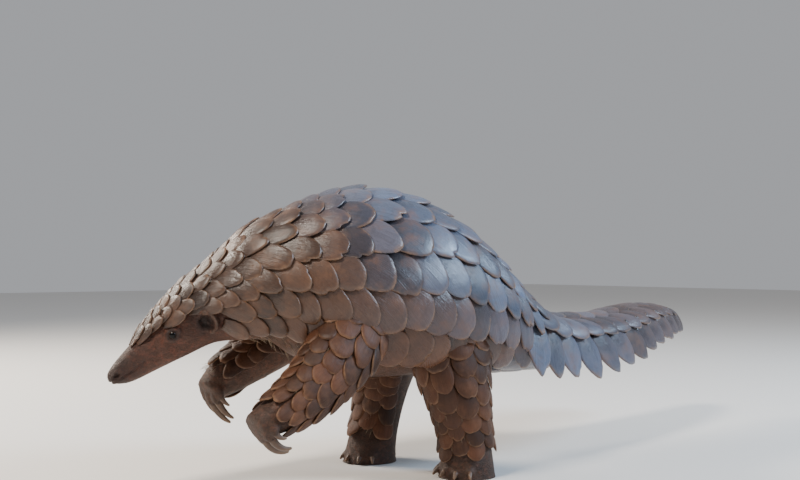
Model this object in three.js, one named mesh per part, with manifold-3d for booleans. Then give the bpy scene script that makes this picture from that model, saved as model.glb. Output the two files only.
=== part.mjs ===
// A life-size walking ground pangolin as a still museum model, in millimetres, +Z up.
// It stands on its two hind feet with both forefeet held clear of the floor, as the species walks.
// X runs from the head (low X) to the tail (high X), and the animal's left side faces low Y.
import * as THREE from "three";
import { mergeVertices } from "three/addons/utils/BufferGeometryUtils.js";
import Module from "manifold-3d";

const wasm = await Module();
wasm.setup();

// Clearances and blocks that cut
const GAP = 0.3; // between pieces that meet face to face
const FAR = 1500; // side of a cutting block, larger than the animal
const WELD = 1e-3; // vertices of a finished node this close are one

// The trunk from nose to tail tip, as cross-sections square to the spine:
// spine x, y, z, height above it, depth below it, half width,
// how many degrees from the ridge of the back its scutes reach, and the scutes' pitch along a row
const TRUNK = [
  [-272, 52, 117, 8, 9, 9, 0, 12],
  [-262, 50, 125, 12, 16, 13, 20, 12],
  [-240, 44, 142, 18, 22, 19, 42, 12],
  [-216, 37, 160, 26, 28, 26, 57, 13],
  [-188, 28, 180, 34, 35, 34, 86, 14],
  [-158, 18, 193, 45, 45, 44, 112, 19],
  [-122, 9, 203, 64, 58, 62, 118, 25],
  [-75, 2, 204, 86, 80, 83, 118, 29],
  [-10, 0, 203, 100, 96, 98, 118, 31],
  [55, 0, 192, 92, 90, 100, 116, 31],
  [115, 0, 172, 73, 72, 91, 114, 30],
  [170, 0, 152, 51, 50, 75, 112, 31],
  [225, 3, 139, 35, 36, 63, 100, 36],
  [290, 9, 134, 25, 27, 57, 90, 38],
  [370, 22, 137, 21, 22, 51, 90, 38],
  [450, 41, 146, 18, 18, 44, 90, 37],
  [530, 64, 151, 15, 14, 35, 90, 35],
  [595, 88, 147, 11, 10, 23, 90, 30],
  [634, 103, 138, 5, 5, 10, 90, 26],
];

// Each leg from inside the body to its foot:
// axis x, y, z, half length in front of the axis, half length behind it, half width
const HINDLEG_LEFT = [
  [70, -48, 165, 50, 50, 38],
  [66, -60, 120, 43, 43, 33],
  [70, -66, 85, 34, 33, 29],
  [78, -66, 50, 28, 27, 26],
  [83, -66, 20, 32, 26, 28],
  [84, -66, -8, 37, 29, 31],
];
const HINDLEG_RIGHT = [
  [70, 48, 165, 48, 48, 38],
  [70, 60, 120, 40, 40, 33],
  [66, 66, 85, 33, 32, 29],
  [59, 66, 50, 28, 27, 26],
  [53, 66, 20, 32, 26, 28],
  [50, 66, -8, 37, 29, 31],
];
const FORELEG_LEFT = [
  [-55, -52, 165, 42, 38, 32],
  [-90, -70, 136, 34, 34, 29],
  [-124, -77, 110, 27, 28, 25],
  [-156, -79, 92, 20, 21, 22],
  [-190, -79, 78, 12, 13, 17],
];
const FORELEG_RIGHT = [
  [-55, 52, 165, 38, 38, 32],
  [-88, 62, 141, 31, 30, 28],
  [-120, 62, 122, 25, 24, 23],
  [-148, 60, 108, 20, 20, 20],
  [-167, 60, 96, 12, 13, 17],
];

// Where the trunk is parted, in rows of its table
const HEAD_END = 4.75;
const NECK_END = 6.1;
const TORSO_END = 11.62;
const TAIL_BASE_END = 13.6;
const TAIL_MIDDLE_END = 15.6;

// Where the legs are parted, and the sizes of the spaces that hold them
const HINDLEG_TOP = 97; // just under the belly
const ANKLE = 34;
const ARMPIT = { x: -36, z: 103, slope: 0.4 }; // a plane that rises forward under the chest
const WRIST = 2.85; // in rows of a foreleg's table
const FORELEG_REACH = 122; // from the armpit forward, to clear the throat
const FORELEG_SPACE = { wide: 150, high: 160 };
const FOREFOOT_SPACE = { wide: 84, deep: 96, long: 150 };
const HINDLEG_SPACE = { middle: 75, long: 230, wide: 200, bottom: -10 };
const MIDLINE = 2; // half the gap between the left and right spaces

// The head
const EYE = { t: 2.9, phi: 1.52, radius: 4.4, depth: 0.9 };
const LID = { long: 9, high: 6.5, proud: 4.4, tilt: 0.3, sink: 1 };
const EAR = { t: 3.87, phi: 1.78, radius: 11, thick: 3, open: 0.9, squash: 0.8, ridge: 1.7 };
const EAR_HOLLOW = { long: 6, high: 6.6, deep: 3.5 };
const NOSE = { t: 0.15, long: 7.5, high: 8.4, wide: 8.8 };
const MOUTH = { start: -0.2, end: 1.9, drop: 0.3, width: 1.1, depth: 2.2, ahead: 12, reach: 20 };
const NOSTRIL = { t: 0.22, phi: 1.5, length: 3.4, width: 1.5, deep: 2.5 };

// Claws: how far each toe stands from the middle of the foot, its length and its width
const FORE_CLAWS = [
  { off: -14, long: 22, wide: 5 },
  { off: -9, long: 40, wide: 8 },
  { off: 0, long: 48, wide: 9.5 },
  { off: 9, long: 40, wide: 8 },
  { off: 14, long: 22, wide: 5 },
];
const CLAWS_BACK = 0.35; // from the end of a foreleg's table back to the roots of its claws
const FORE_CURL = {
  foreleg_left: { dip: 1.3, curl: 2 }, // the angle a claw starts below level, and how far it turns
  foreleg_right: { dip: 1.53, curl: 1.15 },
};
const HIND_CLAWS = [-0.95, -0.5, -0.02, 0.46, 0.92]; // angles from straight ahead
const HIND_CLAW = { long: 13.6, wide: 6.5, high: 9, curl: 1 };

// Scutes: a lattice of rows and half steps, where each scute rises from its root to a free tip
const BROAD_LIFT = 4.9; // scutes that stand higher than this get two points on each half of the rim
const ROUND = 0.62; // how far a rim bends from a straight line towards an ellipse
const OVERHANG = 1.6; // how far a tip leans over the next scute
const CROWN = 0.7; // how far the middle of a scute bulges
const JITTER = 0.09; // share of the spacing by which each tip strays
const BODY = { rows: 16, scuted: 5, first: 1.7, last: 11.75, lift: 5.6 };
const TAIL = { rows: 8, start: 11, first: 11.6, lift: 5, under: 3, sink: 2.5 };
const LEG = { rows: 8, pitch: 22, lift: 3.6, inner: -2, outer: 4 };
const HINDLEG_SCUTES = { first: 0.8, last: 3.8 };
const FORELEG_SCUTES = { first: 0.7, last: 3.2 };

// The plates on the tail's edges hang down at its base and trail behind at its tip
const MARGIN = { long: 58, wide: 37, thick: 5, inside: 0.14, sides: 6, first: 11.6, last: 17.7 };
const HANG = { first: 1.35, last: 0.4, out: 0.3, face: 0.5 }; // angles below the tail's own line

const HEADWARD = new THREE.Vector3(-1, 0, 0);
const UPWARD = new THREE.Vector3(0, 0, 1);

// The row at t, from 0 to the last row, on a smooth curve through the rows of a table
function along(rows, t) {
  const last = rows.length - 1;
  const at = Math.min(Math.max(t, 0), last);
  const i = Math.min(Math.floor(at), last - 1);
  const f = at - i;
  const [b, c] = [rows[i], rows[i + 1]];
  const a = i > 0 ? rows[i - 1] : b.map((v, k) => 2 * v - c[k]);
  const d = i < last - 1 ? rows[i + 2] : c.map((v, k) => 2 * v - b[k]);
  return b.map((v, k) => {
    const straight = 2 * v + (c[k] - a[k]) * f;
    const square = 2 * a[k] - 5 * v + 4 * c[k] - d[k];
    const cube = 3 * v - a[k] - 3 * c[k] + d[k];
    return 0.5 * (straight + square * f * f + cube * f * f * f);
  });
}

// A rounded body along a table of sections, with its upper side turned to a reference direction
class Limb {
  constructor(rows, reference) {
    this.rows = rows;
    this.reference = reference;
    this.end = rows.length - 1;
  }

  // The centre, the tangent, the up and side directions and the table's row at t
  frame(t) {
    const step = 1e-3;
    const row = along(this.rows, t);
    const a = along(this.rows, Math.max(t - step, 0));
    const b = along(this.rows, Math.min(t + step, this.end));
    const tangent = new THREE.Vector3(b[0] - a[0], b[1] - a[1], b[2] - a[2]).normalize();
    const up = this.reference.clone().addScaledVector(tangent, -this.reference.dot(tangent));
    up.normalize();
    const side = tangent.clone().cross(up);
    return { centre: new THREE.Vector3(row[0], row[1], row[2]), tangent, up, side, row };
  }

  // The point at angle phi round the section, lifted above the surface
  point(t, phi, lift = 0) {
    const { centre, up, side, row } = this.frame(t);
    const high = (Math.cos(phi) > 0 ? row[3] : row[4]) + lift;
    return centre
      .addScaledVector(up, high * Math.cos(phi))
      .addScaledVector(side, (row[5] + lift) * Math.sin(phi));
  }

  // Millimetres of surface for each row of the table and for each radian round it
  scale(t, phi) {
    const step = 0.02;
    const t0 = Math.max(t - step, 0);
    const t1 = Math.min(t + step, this.end);
    return {
      along: this.point(t0, phi).distanceTo(this.point(t1, phi)) / (t1 - t0),
      round: this.point(t, phi - step).distanceTo(this.point(t, phi + step)) / (2 * step),
    };
  }
}

// A three.js geometry as a solid that can be joined and cut, with vertices this close made one
function solidOf(geometry, weld = 1e-4) {
  geometry.deleteAttribute("normal");
  geometry.deleteAttribute("uv");
  const merged = mergeVertices(geometry, weld);
  return new wasm.Manifold(
    new wasm.Mesh({
      numProp: 3,
      vertProperties: merged.attributes.position.array,
      triVerts: new Uint32Array(merged.index.array),
    }),
  );
}

// A solid as a three.js geometry
function geometryOf(solid) {
  const mesh = solid.getMesh();
  const geometry = new THREE.BufferGeometry();
  geometry.setAttribute("position", new THREE.BufferAttribute(mesh.vertProperties.slice(), 3));
  geometry.setIndex(new THREE.BufferAttribute(mesh.triVerts.slice(), 1));
  const faceted = geometry.toNonIndexed();
  faceted.computeVertexNormals();
  return faceted;
}

// The largest closed body of a solid
function largest(solid) {
  const bodies = solid.decompose();
  return bodies.reduce((a, b) => (b.volume() > a.volume() ? b : a));
}

// Moves every vertex of a geometry to place(vertex)
function reshape(geometry, place) {
  const position = geometry.attributes.position;
  const v = new THREE.Vector3();
  for (let i = 0; i < position.count; i++) {
    const to = place(v.fromBufferAttribute(position, i));
    position.setXYZ(i, to.x, to.y, to.z);
  }
  return geometry;
}

// A limb as a closed solid: a sphere with its poles at the two ends
function limbSolid(limb, around, lengthwise, grow = 0) {
  const pole = 0.9999;
  const place = (v) => {
    const t = (Math.acos(THREE.MathUtils.clamp(v.y, -1, 1)) / Math.PI) * limb.end;
    if (Math.abs(v.y) < pole) return limb.point(t, Math.atan2(v.z, v.x), grow);
    const { centre, tangent } = limb.frame(t);
    return centre.addScaledVector(tangent, v.y > 0 ? -grow : grow);
  };
  return solidOf(reshape(new THREE.SphereGeometry(1, around, lengthwise), place));
}

// A box with its middle at a point, and its first two sides along x and y
function block(middle, x, y, size) {
  const turn = new THREE.Matrix4().makeBasis(x, y, x.clone().cross(y)).setPosition(middle);
  return solidOf(new THREE.BoxGeometry(...size).applyMatrix4(turn));
}

// The half space behind a point, seen along a direction: all that lies further than start
function beyond(point, direction, start) {
  const guide = Math.abs(direction.z) > 0.9 ? HEADWARD : UPWARD;
  const x = guide.clone().cross(direction).normalize();
  const y = direction.clone().cross(x);
  const middle = point.clone().addScaledVector(direction, start + FAR / 2);
  return block(middle, x, y, [FAR, FAR, FAR]);
}

const trunk = new Limb(TRUNK, UPWARD);
const legs = {
  hindleg_left: new Limb(HINDLEG_LEFT, HEADWARD),
  hindleg_right: new Limb(HINDLEG_RIGHT, HEADWARD),
  foreleg_left: new Limb(FORELEG_LEFT, HEADWARD),
  foreleg_right: new Limb(FORELEG_RIGHT, HEADWARD),
};
const sides = { left: -1, right: 1 };

// A tapered hook on part of a circle, which starts along one direction and turns towards another
function claw(root, out, inward, { long, wide }, curl) {
  const stations = 4;
  const radius = long / curl;
  const rows = [];
  for (let i = 0; i <= stations; i++) {
    const s = i / stations;
    const at = root
      .clone()
      .addScaledVector(out, radius * Math.sin(curl * s))
      .addScaledVector(inward, radius * (1 - Math.cos(curl * s)));
    const half = (wide / 2) * Math.sqrt(1 - 0.9 * s * s) * (1 - 0.45 * s);
    rows.push([at.x, at.y, at.z, half, half, half * 1.15]);
  }
  return limbSolid(new Limb(rows, out.clone().cross(inward)), 6, 4);
}

// The claws of one forefoot, side by side and curled back under it
function foreClaws(name) {
  const limb = legs[name];
  const { dip, curl } = FORE_CURL[name];
  const { centre, side } = limb.frame(limb.end - CLAWS_BACK);
  const out = HEADWARD.clone().multiplyScalar(Math.cos(dip)).addScaledVector(UPWARD, -Math.sin(dip));
  const inward = HEADWARD.clone().multiplyScalar(-Math.sin(dip)).addScaledVector(UPWARD, -Math.cos(dip));
  return FORE_CLAWS.map((toe) => claw(centre.clone().addScaledVector(side, toe.off), out, inward, toe, curl));
}

// The short nails round the front of one hind foot
function hindClaws(name) {
  const limb = legs[name];
  const row = limb.rows[limb.end - 1];
  return HIND_CLAWS.map((angle) => {
    const out = new THREE.Vector3(-Math.cos(angle), Math.sin(angle), 0);
    const reach = 1 - HIND_CLAW.wide / 2 / row[3];
    const root = new THREE.Vector3(
      row[0] - row[3] * reach * Math.cos(angle),
      row[1] + row[5] * reach * Math.sin(angle),
      HIND_CLAW.high,
    );
    return claw(root, out, UPWARD.clone().negate(), HIND_CLAW, HIND_CLAW.curl);
  });
}

// A frame on the trunk's surface, with its normal, and the directions towards the tail and the back
function surfaceFrame(t, phi) {
  const step = 0.01;
  const point = trunk.point(t, phi);
  const tailward = trunk.point(t + step, phi).sub(point).normalize();
  const backward = trunk.point(t, phi - Math.sign(phi) * step).sub(point).normalize();
  const normal = tailward.clone().cross(backward).multiplyScalar(Math.sign(phi)).normalize();
  if (normal.dot(point.clone().sub(trunk.frame(t).centre)) < 0) normal.negate();
  return { point, tailward, backward, normal };
}

// An ellipsoid at a point, with its half sizes along x, y and the direction square to both
function ellipsoid(middle, x, y, size, around = 12, high = 8) {
  const turn = new THREE.Matrix4().makeBasis(x, y, x.clone().cross(y)).setPosition(middle);
  const shape = new THREE.SphereGeometry(1, around, high).scale(...size);
  return solidOf(shape.applyMatrix4(turn));
}

// One eyeball, or its socket when it is grown
function eyeball(side, grow = 0) {
  const { point, backward, normal } = surfaceFrame(EYE.t, EYE.phi * -side);
  const x = backward.cross(normal).normalize();
  const size = EYE.radius + grow;
  const middle = point.addScaledVector(normal, -EYE.depth);
  return ellipsoid(middle, x, normal.clone().cross(x), [size, size, size], 10, 6);
}

// The puffy lids round one eye
function lids(side) {
  const { point, tailward, backward, normal } = surfaceFrame(EYE.t, EYE.phi * -side);
  const x = tailward.clone().addScaledVector(backward, LID.tilt).normalize();
  const z = normal.clone().addScaledVector(x, -normal.dot(x)).normalize();
  const size = [LID.long, LID.high, LID.proud];
  return ellipsoid(point.addScaledVector(z, -LID.sink), x, z.clone().cross(x), size, 8, 6);
}

// The ridge of one ear, open to the front, or its socket when it is grown
function ear(side, grow = 0) {
  const { point, tailward, normal } = surfaceFrame(EAR.t, EAR.phi * -side);
  const y = normal.clone().cross(tailward).normalize().multiplyScalar(-side);
  const half = Math.PI - EAR.open;
  const path = new THREE.CatmullRomCurve3(
    [-1, -0.6, -0.2, 0.2, 0.6, 1].map((k) => {
      const angle = k * half;
      return point
        .clone()
        .addScaledVector(tailward, EAR.radius * EAR.squash * Math.cos(angle))
        .addScaledVector(y, EAR.radius * Math.sin(angle))
        .addScaledVector(normal, 1);
    }),
  );
  const points = path.getPoints(9);
  const rows = points.map((p, i) => {
    const fade = 0.55 + 0.45 * Math.sin((i / (points.length - 1)) * Math.PI);
    const high = EAR.thick * EAR.ridge * fade;
    return [p.x, p.y, p.z, high, high, EAR.thick * fade];
  });
  return limbSolid(new Limb(rows, normal), 6, 9, grow);
}

// The hollow in front of one ear's ridge
function earHollow(side) {
  const { point, tailward, normal } = surfaceFrame(EAR.t, EAR.phi * -side);
  const y = normal.clone().cross(tailward).normalize();
  return ellipsoid(point, tailward, y, [EAR_HOLLOW.long, EAR_HOLLOW.high, EAR_HOLLOW.deep], 8, 4);
}

// The rounded tip of the snout
function nose() {
  const { centre, tangent, up } = trunk.frame(NOSE.t);
  return ellipsoid(centre, tangent, up, [NOSE.long, NOSE.high, NOSE.wide], 10, 6);
}

// The line of the mouth, a groove along both sides of the snout and round its tip
function mouthGroove() {
  const rows = [];
  for (let i = 0; i <= 4; i++) {
    const { centre, up, row } = trunk.frame(MOUTH.start + (i / 4) * (MOUTH.end - MOUTH.start));
    const p = centre.addScaledVector(up, -row[4] * MOUTH.drop);
    rows.push([p.x, p.y, p.z, MOUTH.width / 2, MOUTH.width / 2, row[5] * 2]);
  }
  const { centre, tangent, up, row } = trunk.frame(0);
  const start = centre.addScaledVector(tangent, -MOUTH.ahead).addScaledVector(up, -row[4] * MOUTH.drop);
  rows[0] = [start.x, start.y, start.z, MOUTH.width / 2, MOUTH.width / 2, MOUTH.reach];
  const slab = limbSolid(new Limb(rows, UPWARD), 4, 4);
  return slab.subtract(limbSolid(trunk, 10, 24, -MOUTH.depth));
}

// One nostril, a slot on the side of the nose
function nostril(side) {
  const { point, tailward, normal } = surfaceFrame(NOSTRIL.t, NOSTRIL.phi * -side);
  const y = normal.clone().cross(tailward).normalize();
  return ellipsoid(point, tailward, y, [NOSTRIL.length, NOSTRIL.width, NOSTRIL.deep], 6, 4);
}

// Repeatable random numbers from 0 to 1
function seeded(seed) {
  let state = seed;
  return () => {
    state = (Math.imul(state, 1664525) + 1013904223) >>> 0;
    return state / 2 ** 32;
  };
}

const random = seeded(7);
const vary = (value, share = JITTER) => value * (1 + share * (2 * random() - 1));

// Places along a limb, about half a pitch apart and even in number, from one t to another
function halfSteps(limb, from, to, pitch) {
  const steps = [from];
  let t = from;
  while (t < to || steps.length % 2 === 0) {
    const here = Math.min(t, limb.end - 0.1);
    t += pitch(here) / 2 / limb.scale(here, Math.PI / 2).along;
    steps.push(t);
  }
  return steps.map((step) => from + ((step - from) * (to - from)) / (t - from));
}

// The skin of a limb with its scutes, as one closed surface. Row j has a tip at every second half step m.
// The rim of the scute at (j, m) runs from the tip at (j - 1, m - 1), round its own tip, to (j + 1, m - 1).
function scutedSolid(limb, rows, steps, lift, bed = () => 0) {
  const vertices = [];
  const faces = [];
  const spacing = (2 * Math.PI) / rows;
  const last = steps.length - 1;
  const add = (t, phi, height) => vertices.push(limb.point(t, phi, height + bed(t))) - 1;
  const wrap = (j) => ((j % rows) + rows) % rows;
  const tips = new Map();
  const key = (j, m) => wrap(j) * 1000 + m;

  // A tip: its place, its height, its low vertex and its raised one
  const tip = (j, m) => tips.get(key(j, m));
  for (let m = 0; m <= last; m++) {
    for (let j = m % 2; j < rows; j += 2) {
      const width = m > 0 && m < last ? JITTER : 0;
      const half = (steps[Math.min(m + 1, last)] - steps[Math.max(m - 1, 0)]) / 2;
      const t = steps[m] + half * width * (2 * random() - 1);
      const phi = j * spacing + spacing * width * 0.6 * (2 * random() - 1);
      const centred = phi > Math.PI ? phi - 2 * Math.PI : phi;
      const height = m > 1 ? lift(t, j > rows / 2 ? j - rows : j, centred) : 0;
      const low = add(t, phi, 0);
      const lean = height > 0 ? OVERHANG / limb.scale(t, phi).along : 0;
      const high = height > 0 ? add(t + lean, phi, height) : low;
      tips.set(key(j, m), { t, phi, height, low, high });
    }
  }

  // Half a rim, from its low end to the tip: pairs of low and raised vertices
  const rims = new Map();
  const rim = (j, m, turn) => {
    const name = key(j, m) * 2 + (turn > 0 ? 1 : 0);
    if (rims.has(name)) return rims.get(name);
    const own = tip(j, m);
    const end = tip(j + turn, m - 1);
    let across = end.phi - own.phi;
    across -= 2 * Math.PI * Math.round(across / (2 * Math.PI));
    const count = own.height > BROAD_LIFT ? 2 : 1;
    const points = [{ low: end.low, high: end.low }];
    for (let q = 1; q <= count; q++) {
      const s = q / (count + 1);
      const u = (1 - s) * (1 - ROUND) + Math.cos((s * Math.PI) / 2) * ROUND;
      const v = s * (1 - ROUND) + Math.sin((s * Math.PI) / 2) * ROUND;
      const t = end.t + (own.t - end.t) * v;
      const phi = own.phi + across * u;
      const low = add(t, phi, 0);
      const height = own.height * (1 - (1 - s) ** 2);
      const lean = (OVERHANG * v) / limb.scale(t, phi).along;
      points.push({ low, high: height > 0 ? add(t + lean, phi, height) : low });
    }
    points.push({ low: own.low, high: own.high });
    rims.set(name, points);
    return points;
  };

  const fan = (hub, ring) => {
    ring.forEach((a, i) => {
      const b = ring[(i + 1) % ring.length];
      if (a !== hub && b !== hub) faces.push([hub, a, b]);
    });
  };
  const wall = (points) => {
    for (let i = 0; i + 1 < points.length; i++) {
      const [a, b] = [points[i], points[i + 1]];
      if (b.high !== b.low) faces.push([a.low, b.low, b.high]);
      if (a.high !== a.low) faces.push([a.low, b.high, a.high]);
    }
  };

  const start = limb.frame(steps[0]);
  const pole = vertices.push(start.centre) - 1;
  for (let m = 1; m <= last; m++) {
    for (let j = m % 2; j < rows; j += 2) {
      const own = tip(j, m);
      const right = rim(j, m, 1);
      const left = rim(j, m, -1);
      const ring = [];
      if (m === 1) {
        ring.push(pole);
      } else {
        ring.push(...rim(j + 1, m - 1, -1).slice(0, -1).map((p) => p.low));
      }
      ring.push(...right.map((p) => p.high));
      ring.push(...left.slice(0, -1).reverse().map((p) => p.high));
      if (m > 1) {
        const back = rim(j - 1, m - 1, 1).slice(1, -1).reverse();
        ring.push(...back.map((p) => p.low));
      }
      if (own.height > 0) {
        const t = own.t * 0.55 + tip(j, Math.max(m - 2, m % 2)).t * 0.45;
        fan(add(t, own.phi, own.height * 0.6 + CROWN), ring);
      } else {
        fan(own.low, ring);
      }
      wall(right);
      wall([...left].reverse());
    }
  }
  const cap = vertices.push(limb.frame(steps[last]).centre) - 1;
  for (let j = last % 2; j < rows; j += 2) {
    const low = [...rim(j, last, -1), ...rim(j, last, 1).slice(0, -1).reverse()].map((p) => p.low);
    for (let i = 0; i + 1 < low.length; i++) faces.push([cap, low[i], low[i + 1]]);
  }

  const geometry = new THREE.BufferGeometry();
  const numbers = vertices.flatMap((v) => v.toArray());
  geometry.setAttribute("position", new THREE.Float32BufferAttribute(numbers, 3));
  geometry.setIndex(faces.flat());
  return solidOf(geometry);
}

const reachAt = (t) => THREE.MathUtils.degToRad(along(TRUNK, t)[6]);
const pitchAt = (t) => along(TRUNK, t)[7];
const bodyWidth = along(TRUNK, 8)[5];

// The head, neck and torso with their scutes, which stop at the belly, the face and the throat
function body() {
  const lift = (t, row, phi) => {
    const scuted = t > BODY.first && Math.abs(row) <= BODY.scuted && Math.abs(phi) <= reachAt(t);
    return scuted ? vary(BODY.lift) * Math.min(1, 0.26 + along(TRUNK, t)[5] / bodyWidth) : 0;
  };
  return scutedSolid(trunk, BODY.rows, halfSteps(trunk, 0, BODY.last, pitchAt), lift);
}

// The tail with its broader scutes, above and below
function tail() {
  const lift = (t, row) => {
    if (t < TAIL.first) return 0;
    if (Math.abs(row) === 2) return 0;
    const full = Math.abs(row) > 2 ? TAIL.under : TAIL.lift;
    return vary(full) * Math.min(1, 0.4 + along(TRUNK, t)[5] / bodyWidth);
  };
  const bed = (t) => (t < TAIL.first ? -TAIL.sink : 0);
  return scutedSolid(trunk, TAIL.rows, halfSteps(trunk, TAIL.start, trunk.end, pitchAt), lift, bed);
}

// One leg, with scutes on its front and its outer side
function leg(name, limb) {
  const side = name.endsWith("left") ? sides.left : sides.right;
  const { first, last } = name.startsWith("hind") ? HINDLEG_SCUTES : FORELEG_SCUTES;
  const lift = (t, row) => {
    const outward = row * side;
    return t > first && t < last && outward > LEG.inner && outward < LEG.outer ? vary(LEG.lift) : 0;
  };
  return scutedSolid(limb, LEG.rows, halfSteps(limb, 0, limb.end, () => LEG.pitch), lift);
}

// The pointed plates along one edge of the tail
function marginPlates(side) {
  const plates = [];
  let t = MARGIN.first;
  while (t < MARGIN.last) {
    const { centre, tangent, up, row } = trunk.frame(t);
    const outward = tangent.clone().cross(up).multiplyScalar(side);
    const size = Math.min(1, 0.5 + row[5] / 110);
    const hang = THREE.MathUtils.mapLinear(t, MARGIN.first, MARGIN.last, HANG.first, HANG.last);
    const down = outward.clone().multiplyScalar(HANG.out).sub(up).normalize();
    const x = tangent.clone().multiplyScalar(Math.cos(hang)).addScaledVector(down, Math.sin(hang));
    const z = outward.clone().addScaledVector(up, HANG.face);
    z.addScaledVector(x, -z.dot(x)).normalize();
    const y = z.clone().cross(x);
    const root = centre.addScaledVector(outward, row[5] - MARGIN.thick);
    const long = vary(MARGIN.long * size);
    const wide = vary(MARGIN.wide * size);
    const place = (v) => {
      const forward = (1 + v.z) / 2;
      const middle = v.x === 0 && v.z === 0 ? 1 : 0;
      const thick = MARGIN.thick * (1 - 0.72 * forward) * size + middle;
      return root
        .clone()
        .addScaledVector(x, (forward - MARGIN.inside) * long)
        .addScaledVector(y, (v.x * wide) / 2)
        .addScaledVector(z, v.y > 0 ? thick / 2 : -thick / 2);
    };
    plates.push(solidOf(reshape(new THREE.CylinderGeometry(1, 1, 1, MARGIN.sides), place)));
    t += pitchAt(t) / trunk.scale(t, Math.PI / 2).along;
  }
  return plates;
}

// The whole animal in one solid, standing on its soles
function wholeBody() {
  const pieces = [body(), tail(), nose(), lids(sides.left), lids(sides.right)];
  pieces.push(...marginPlates(sides.left), ...marginPlates(sides.right));
  for (const [name, limb] of Object.entries(legs)) {
    pieces.push(leg(name, limb));
    pieces.push(...(name.startsWith("hind") ? hindClaws(name) : foreClaws(name)));
  }
  return wasm.Manifold.union(pieces).intersect(beyond(new THREE.Vector3(), UPWARD, 0));
}

// The space that holds one hind leg, or its foot, from the height bottom up to top
function hindlegSpace(side, top, bottom, midline) {
  const { middle, long, wide } = HINDLEG_SPACE;
  const centre = new THREE.Vector3(middle, side * (wide / 2 + midline), (top + bottom) / 2);
  return block(centre, new THREE.Vector3(1, 0, 0), new THREE.Vector3(0, 1, 0), [long, wide, top - bottom]);
}

// The space that holds one foreleg, grown by a clearance
function forelegSpace(side, grow) {
  const slope = Math.atan(ARMPIT.slope);
  const x = new THREE.Vector3(-Math.cos(slope), 0, Math.sin(slope));
  const z = new THREE.Vector3(Math.sin(slope), 0, Math.cos(slope));
  const reach = FORELEG_REACH / Math.cos(slope);
  const { wide, high } = FORELEG_SPACE;
  const middle = new THREE.Vector3(ARMPIT.x, side * (wide / 2 + MIDLINE), ARMPIT.z)
    .addScaledVector(x, reach / 2)
    .addScaledVector(z, -high / 2);
  return block(middle, x, z.clone().cross(x), [reach, wide, high].map((size) => size + 2 * grow));
}

// The space that holds one forefoot, grown by a clearance
function forefootSpace(limb, grow) {
  const { centre, tangent, side } = limb.frame(WRIST);
  const { wide, deep, long } = FOREFOOT_SPACE;
  const middle = centre.addScaledVector(tangent, long / 2);
  const sizes = [wide, deep, long].map((size) => size + 2 * grow);
  return block(middle, side, tangent.clone().cross(side), sizes);
}

// The body parted into its named nodes
function parted() {
  const nodes = {};
  const half = GAP / 2;
  const { bottom } = HINDLEG_SPACE;
  let rest = wholeBody();
  const take = (name, space, cleared) => {
    nodes[name] = largest(rest.intersect(space));
    rest = rest.subtract(cleared);
  };
  const takeHind = (name, side, top, low) =>
    take(name, hindlegSpace(side, top - half, low, MIDLINE), hindlegSpace(side, top + half, bottom, 0));
  for (const [name, side] of Object.entries(sides)) {
    const foot = legs[`foreleg_${name}`];
    take(`forefoot_${name}`, forefootSpace(foot, -half), forefootSpace(foot, half));
    take(`foreleg_${name}`, forelegSpace(side, -half), forelegSpace(side, half));
    takeHind(`hindfoot_${name}`, side, ANKLE, bottom);
    takeHind(`hindleg_${name}`, side, HINDLEG_TOP, ANKLE);
  }
  const cuts = [
    ["head", HEAD_END],
    ["neck", NECK_END],
    ["torso", TORSO_END],
    ["tail_base", TAIL_BASE_END],
    ["tail_middle", TAIL_MIDDLE_END],
  ];
  for (const [name, t] of cuts) {
    const { centre, tangent } = trunk.frame(t);
    nodes[name] = largest(rest.subtract(beyond(centre, tangent, -half)));
    rest = rest.intersect(beyond(centre, tangent, half));
  }
  nodes.tail_tip = largest(rest);
  return nodes;
}

// Adds what is set into the head, and cuts its mouth and nostrils
function finishHead(nodes) {
  let head = nodes.head.subtract(mouthGroove());
  for (const [name, side] of Object.entries(sides)) {
    head = head.subtract(nostril(side));
    head = head.subtract(eyeball(side, GAP)).subtract(earHollow(side)).subtract(ear(side, GAP));
    nodes[`eye_${name}`] = eyeball(side);
    nodes[`ear_${name}`] = ear(side);
  }
  nodes.head = largest(head);
}

const nodes = parted();
finishHead(nodes);

const finishes = {
  scutes: { color: 0x8a7a6b, roughness: 0.5, metalness: 0 },
  limbs: { color: 0x5c4436, roughness: 0.7, metalness: 0 },
  face: { color: 0x7d5a48, roughness: 0.8, metalness: 0 },
  eyes: { color: 0x0a0807, roughness: 0.1, metalness: 0 },
};

function finishOf(name) {
  if (name.startsWith("eye")) return finishes.eyes;
  if (name.startsWith("ear")) return finishes.face;
  if (name.includes("leg") || name.includes("foot")) return finishes.limbs;
  return finishes.scutes;
}

// The origin lies on the floor, under the middle of the animal's box
const bounds = new THREE.Box3();
for (const solid of Object.values(nodes)) {
  const { min, max } = solid.boundingBox();
  bounds.expandByPoint(new THREE.Vector3(...min)).expandByPoint(new THREE.Vector3(...max));
}
const origin = bounds.getCenter(new THREE.Vector3()).setZ(bounds.min.z);

const animal = new THREE.Group();
for (const [name, solid] of Object.entries(nodes)) {
  const placed = geometryOf(solid).translate(-origin.x, -origin.y, -origin.z);
  const welded = largest(solidOf(placed, WELD));
  const mesh = new THREE.Mesh(geometryOf(welded), new THREE.MeshStandardMaterial(finishOf(name)));
  mesh.name = name;
  animal.add(mesh);
}

export default animal;
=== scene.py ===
import math

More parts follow.
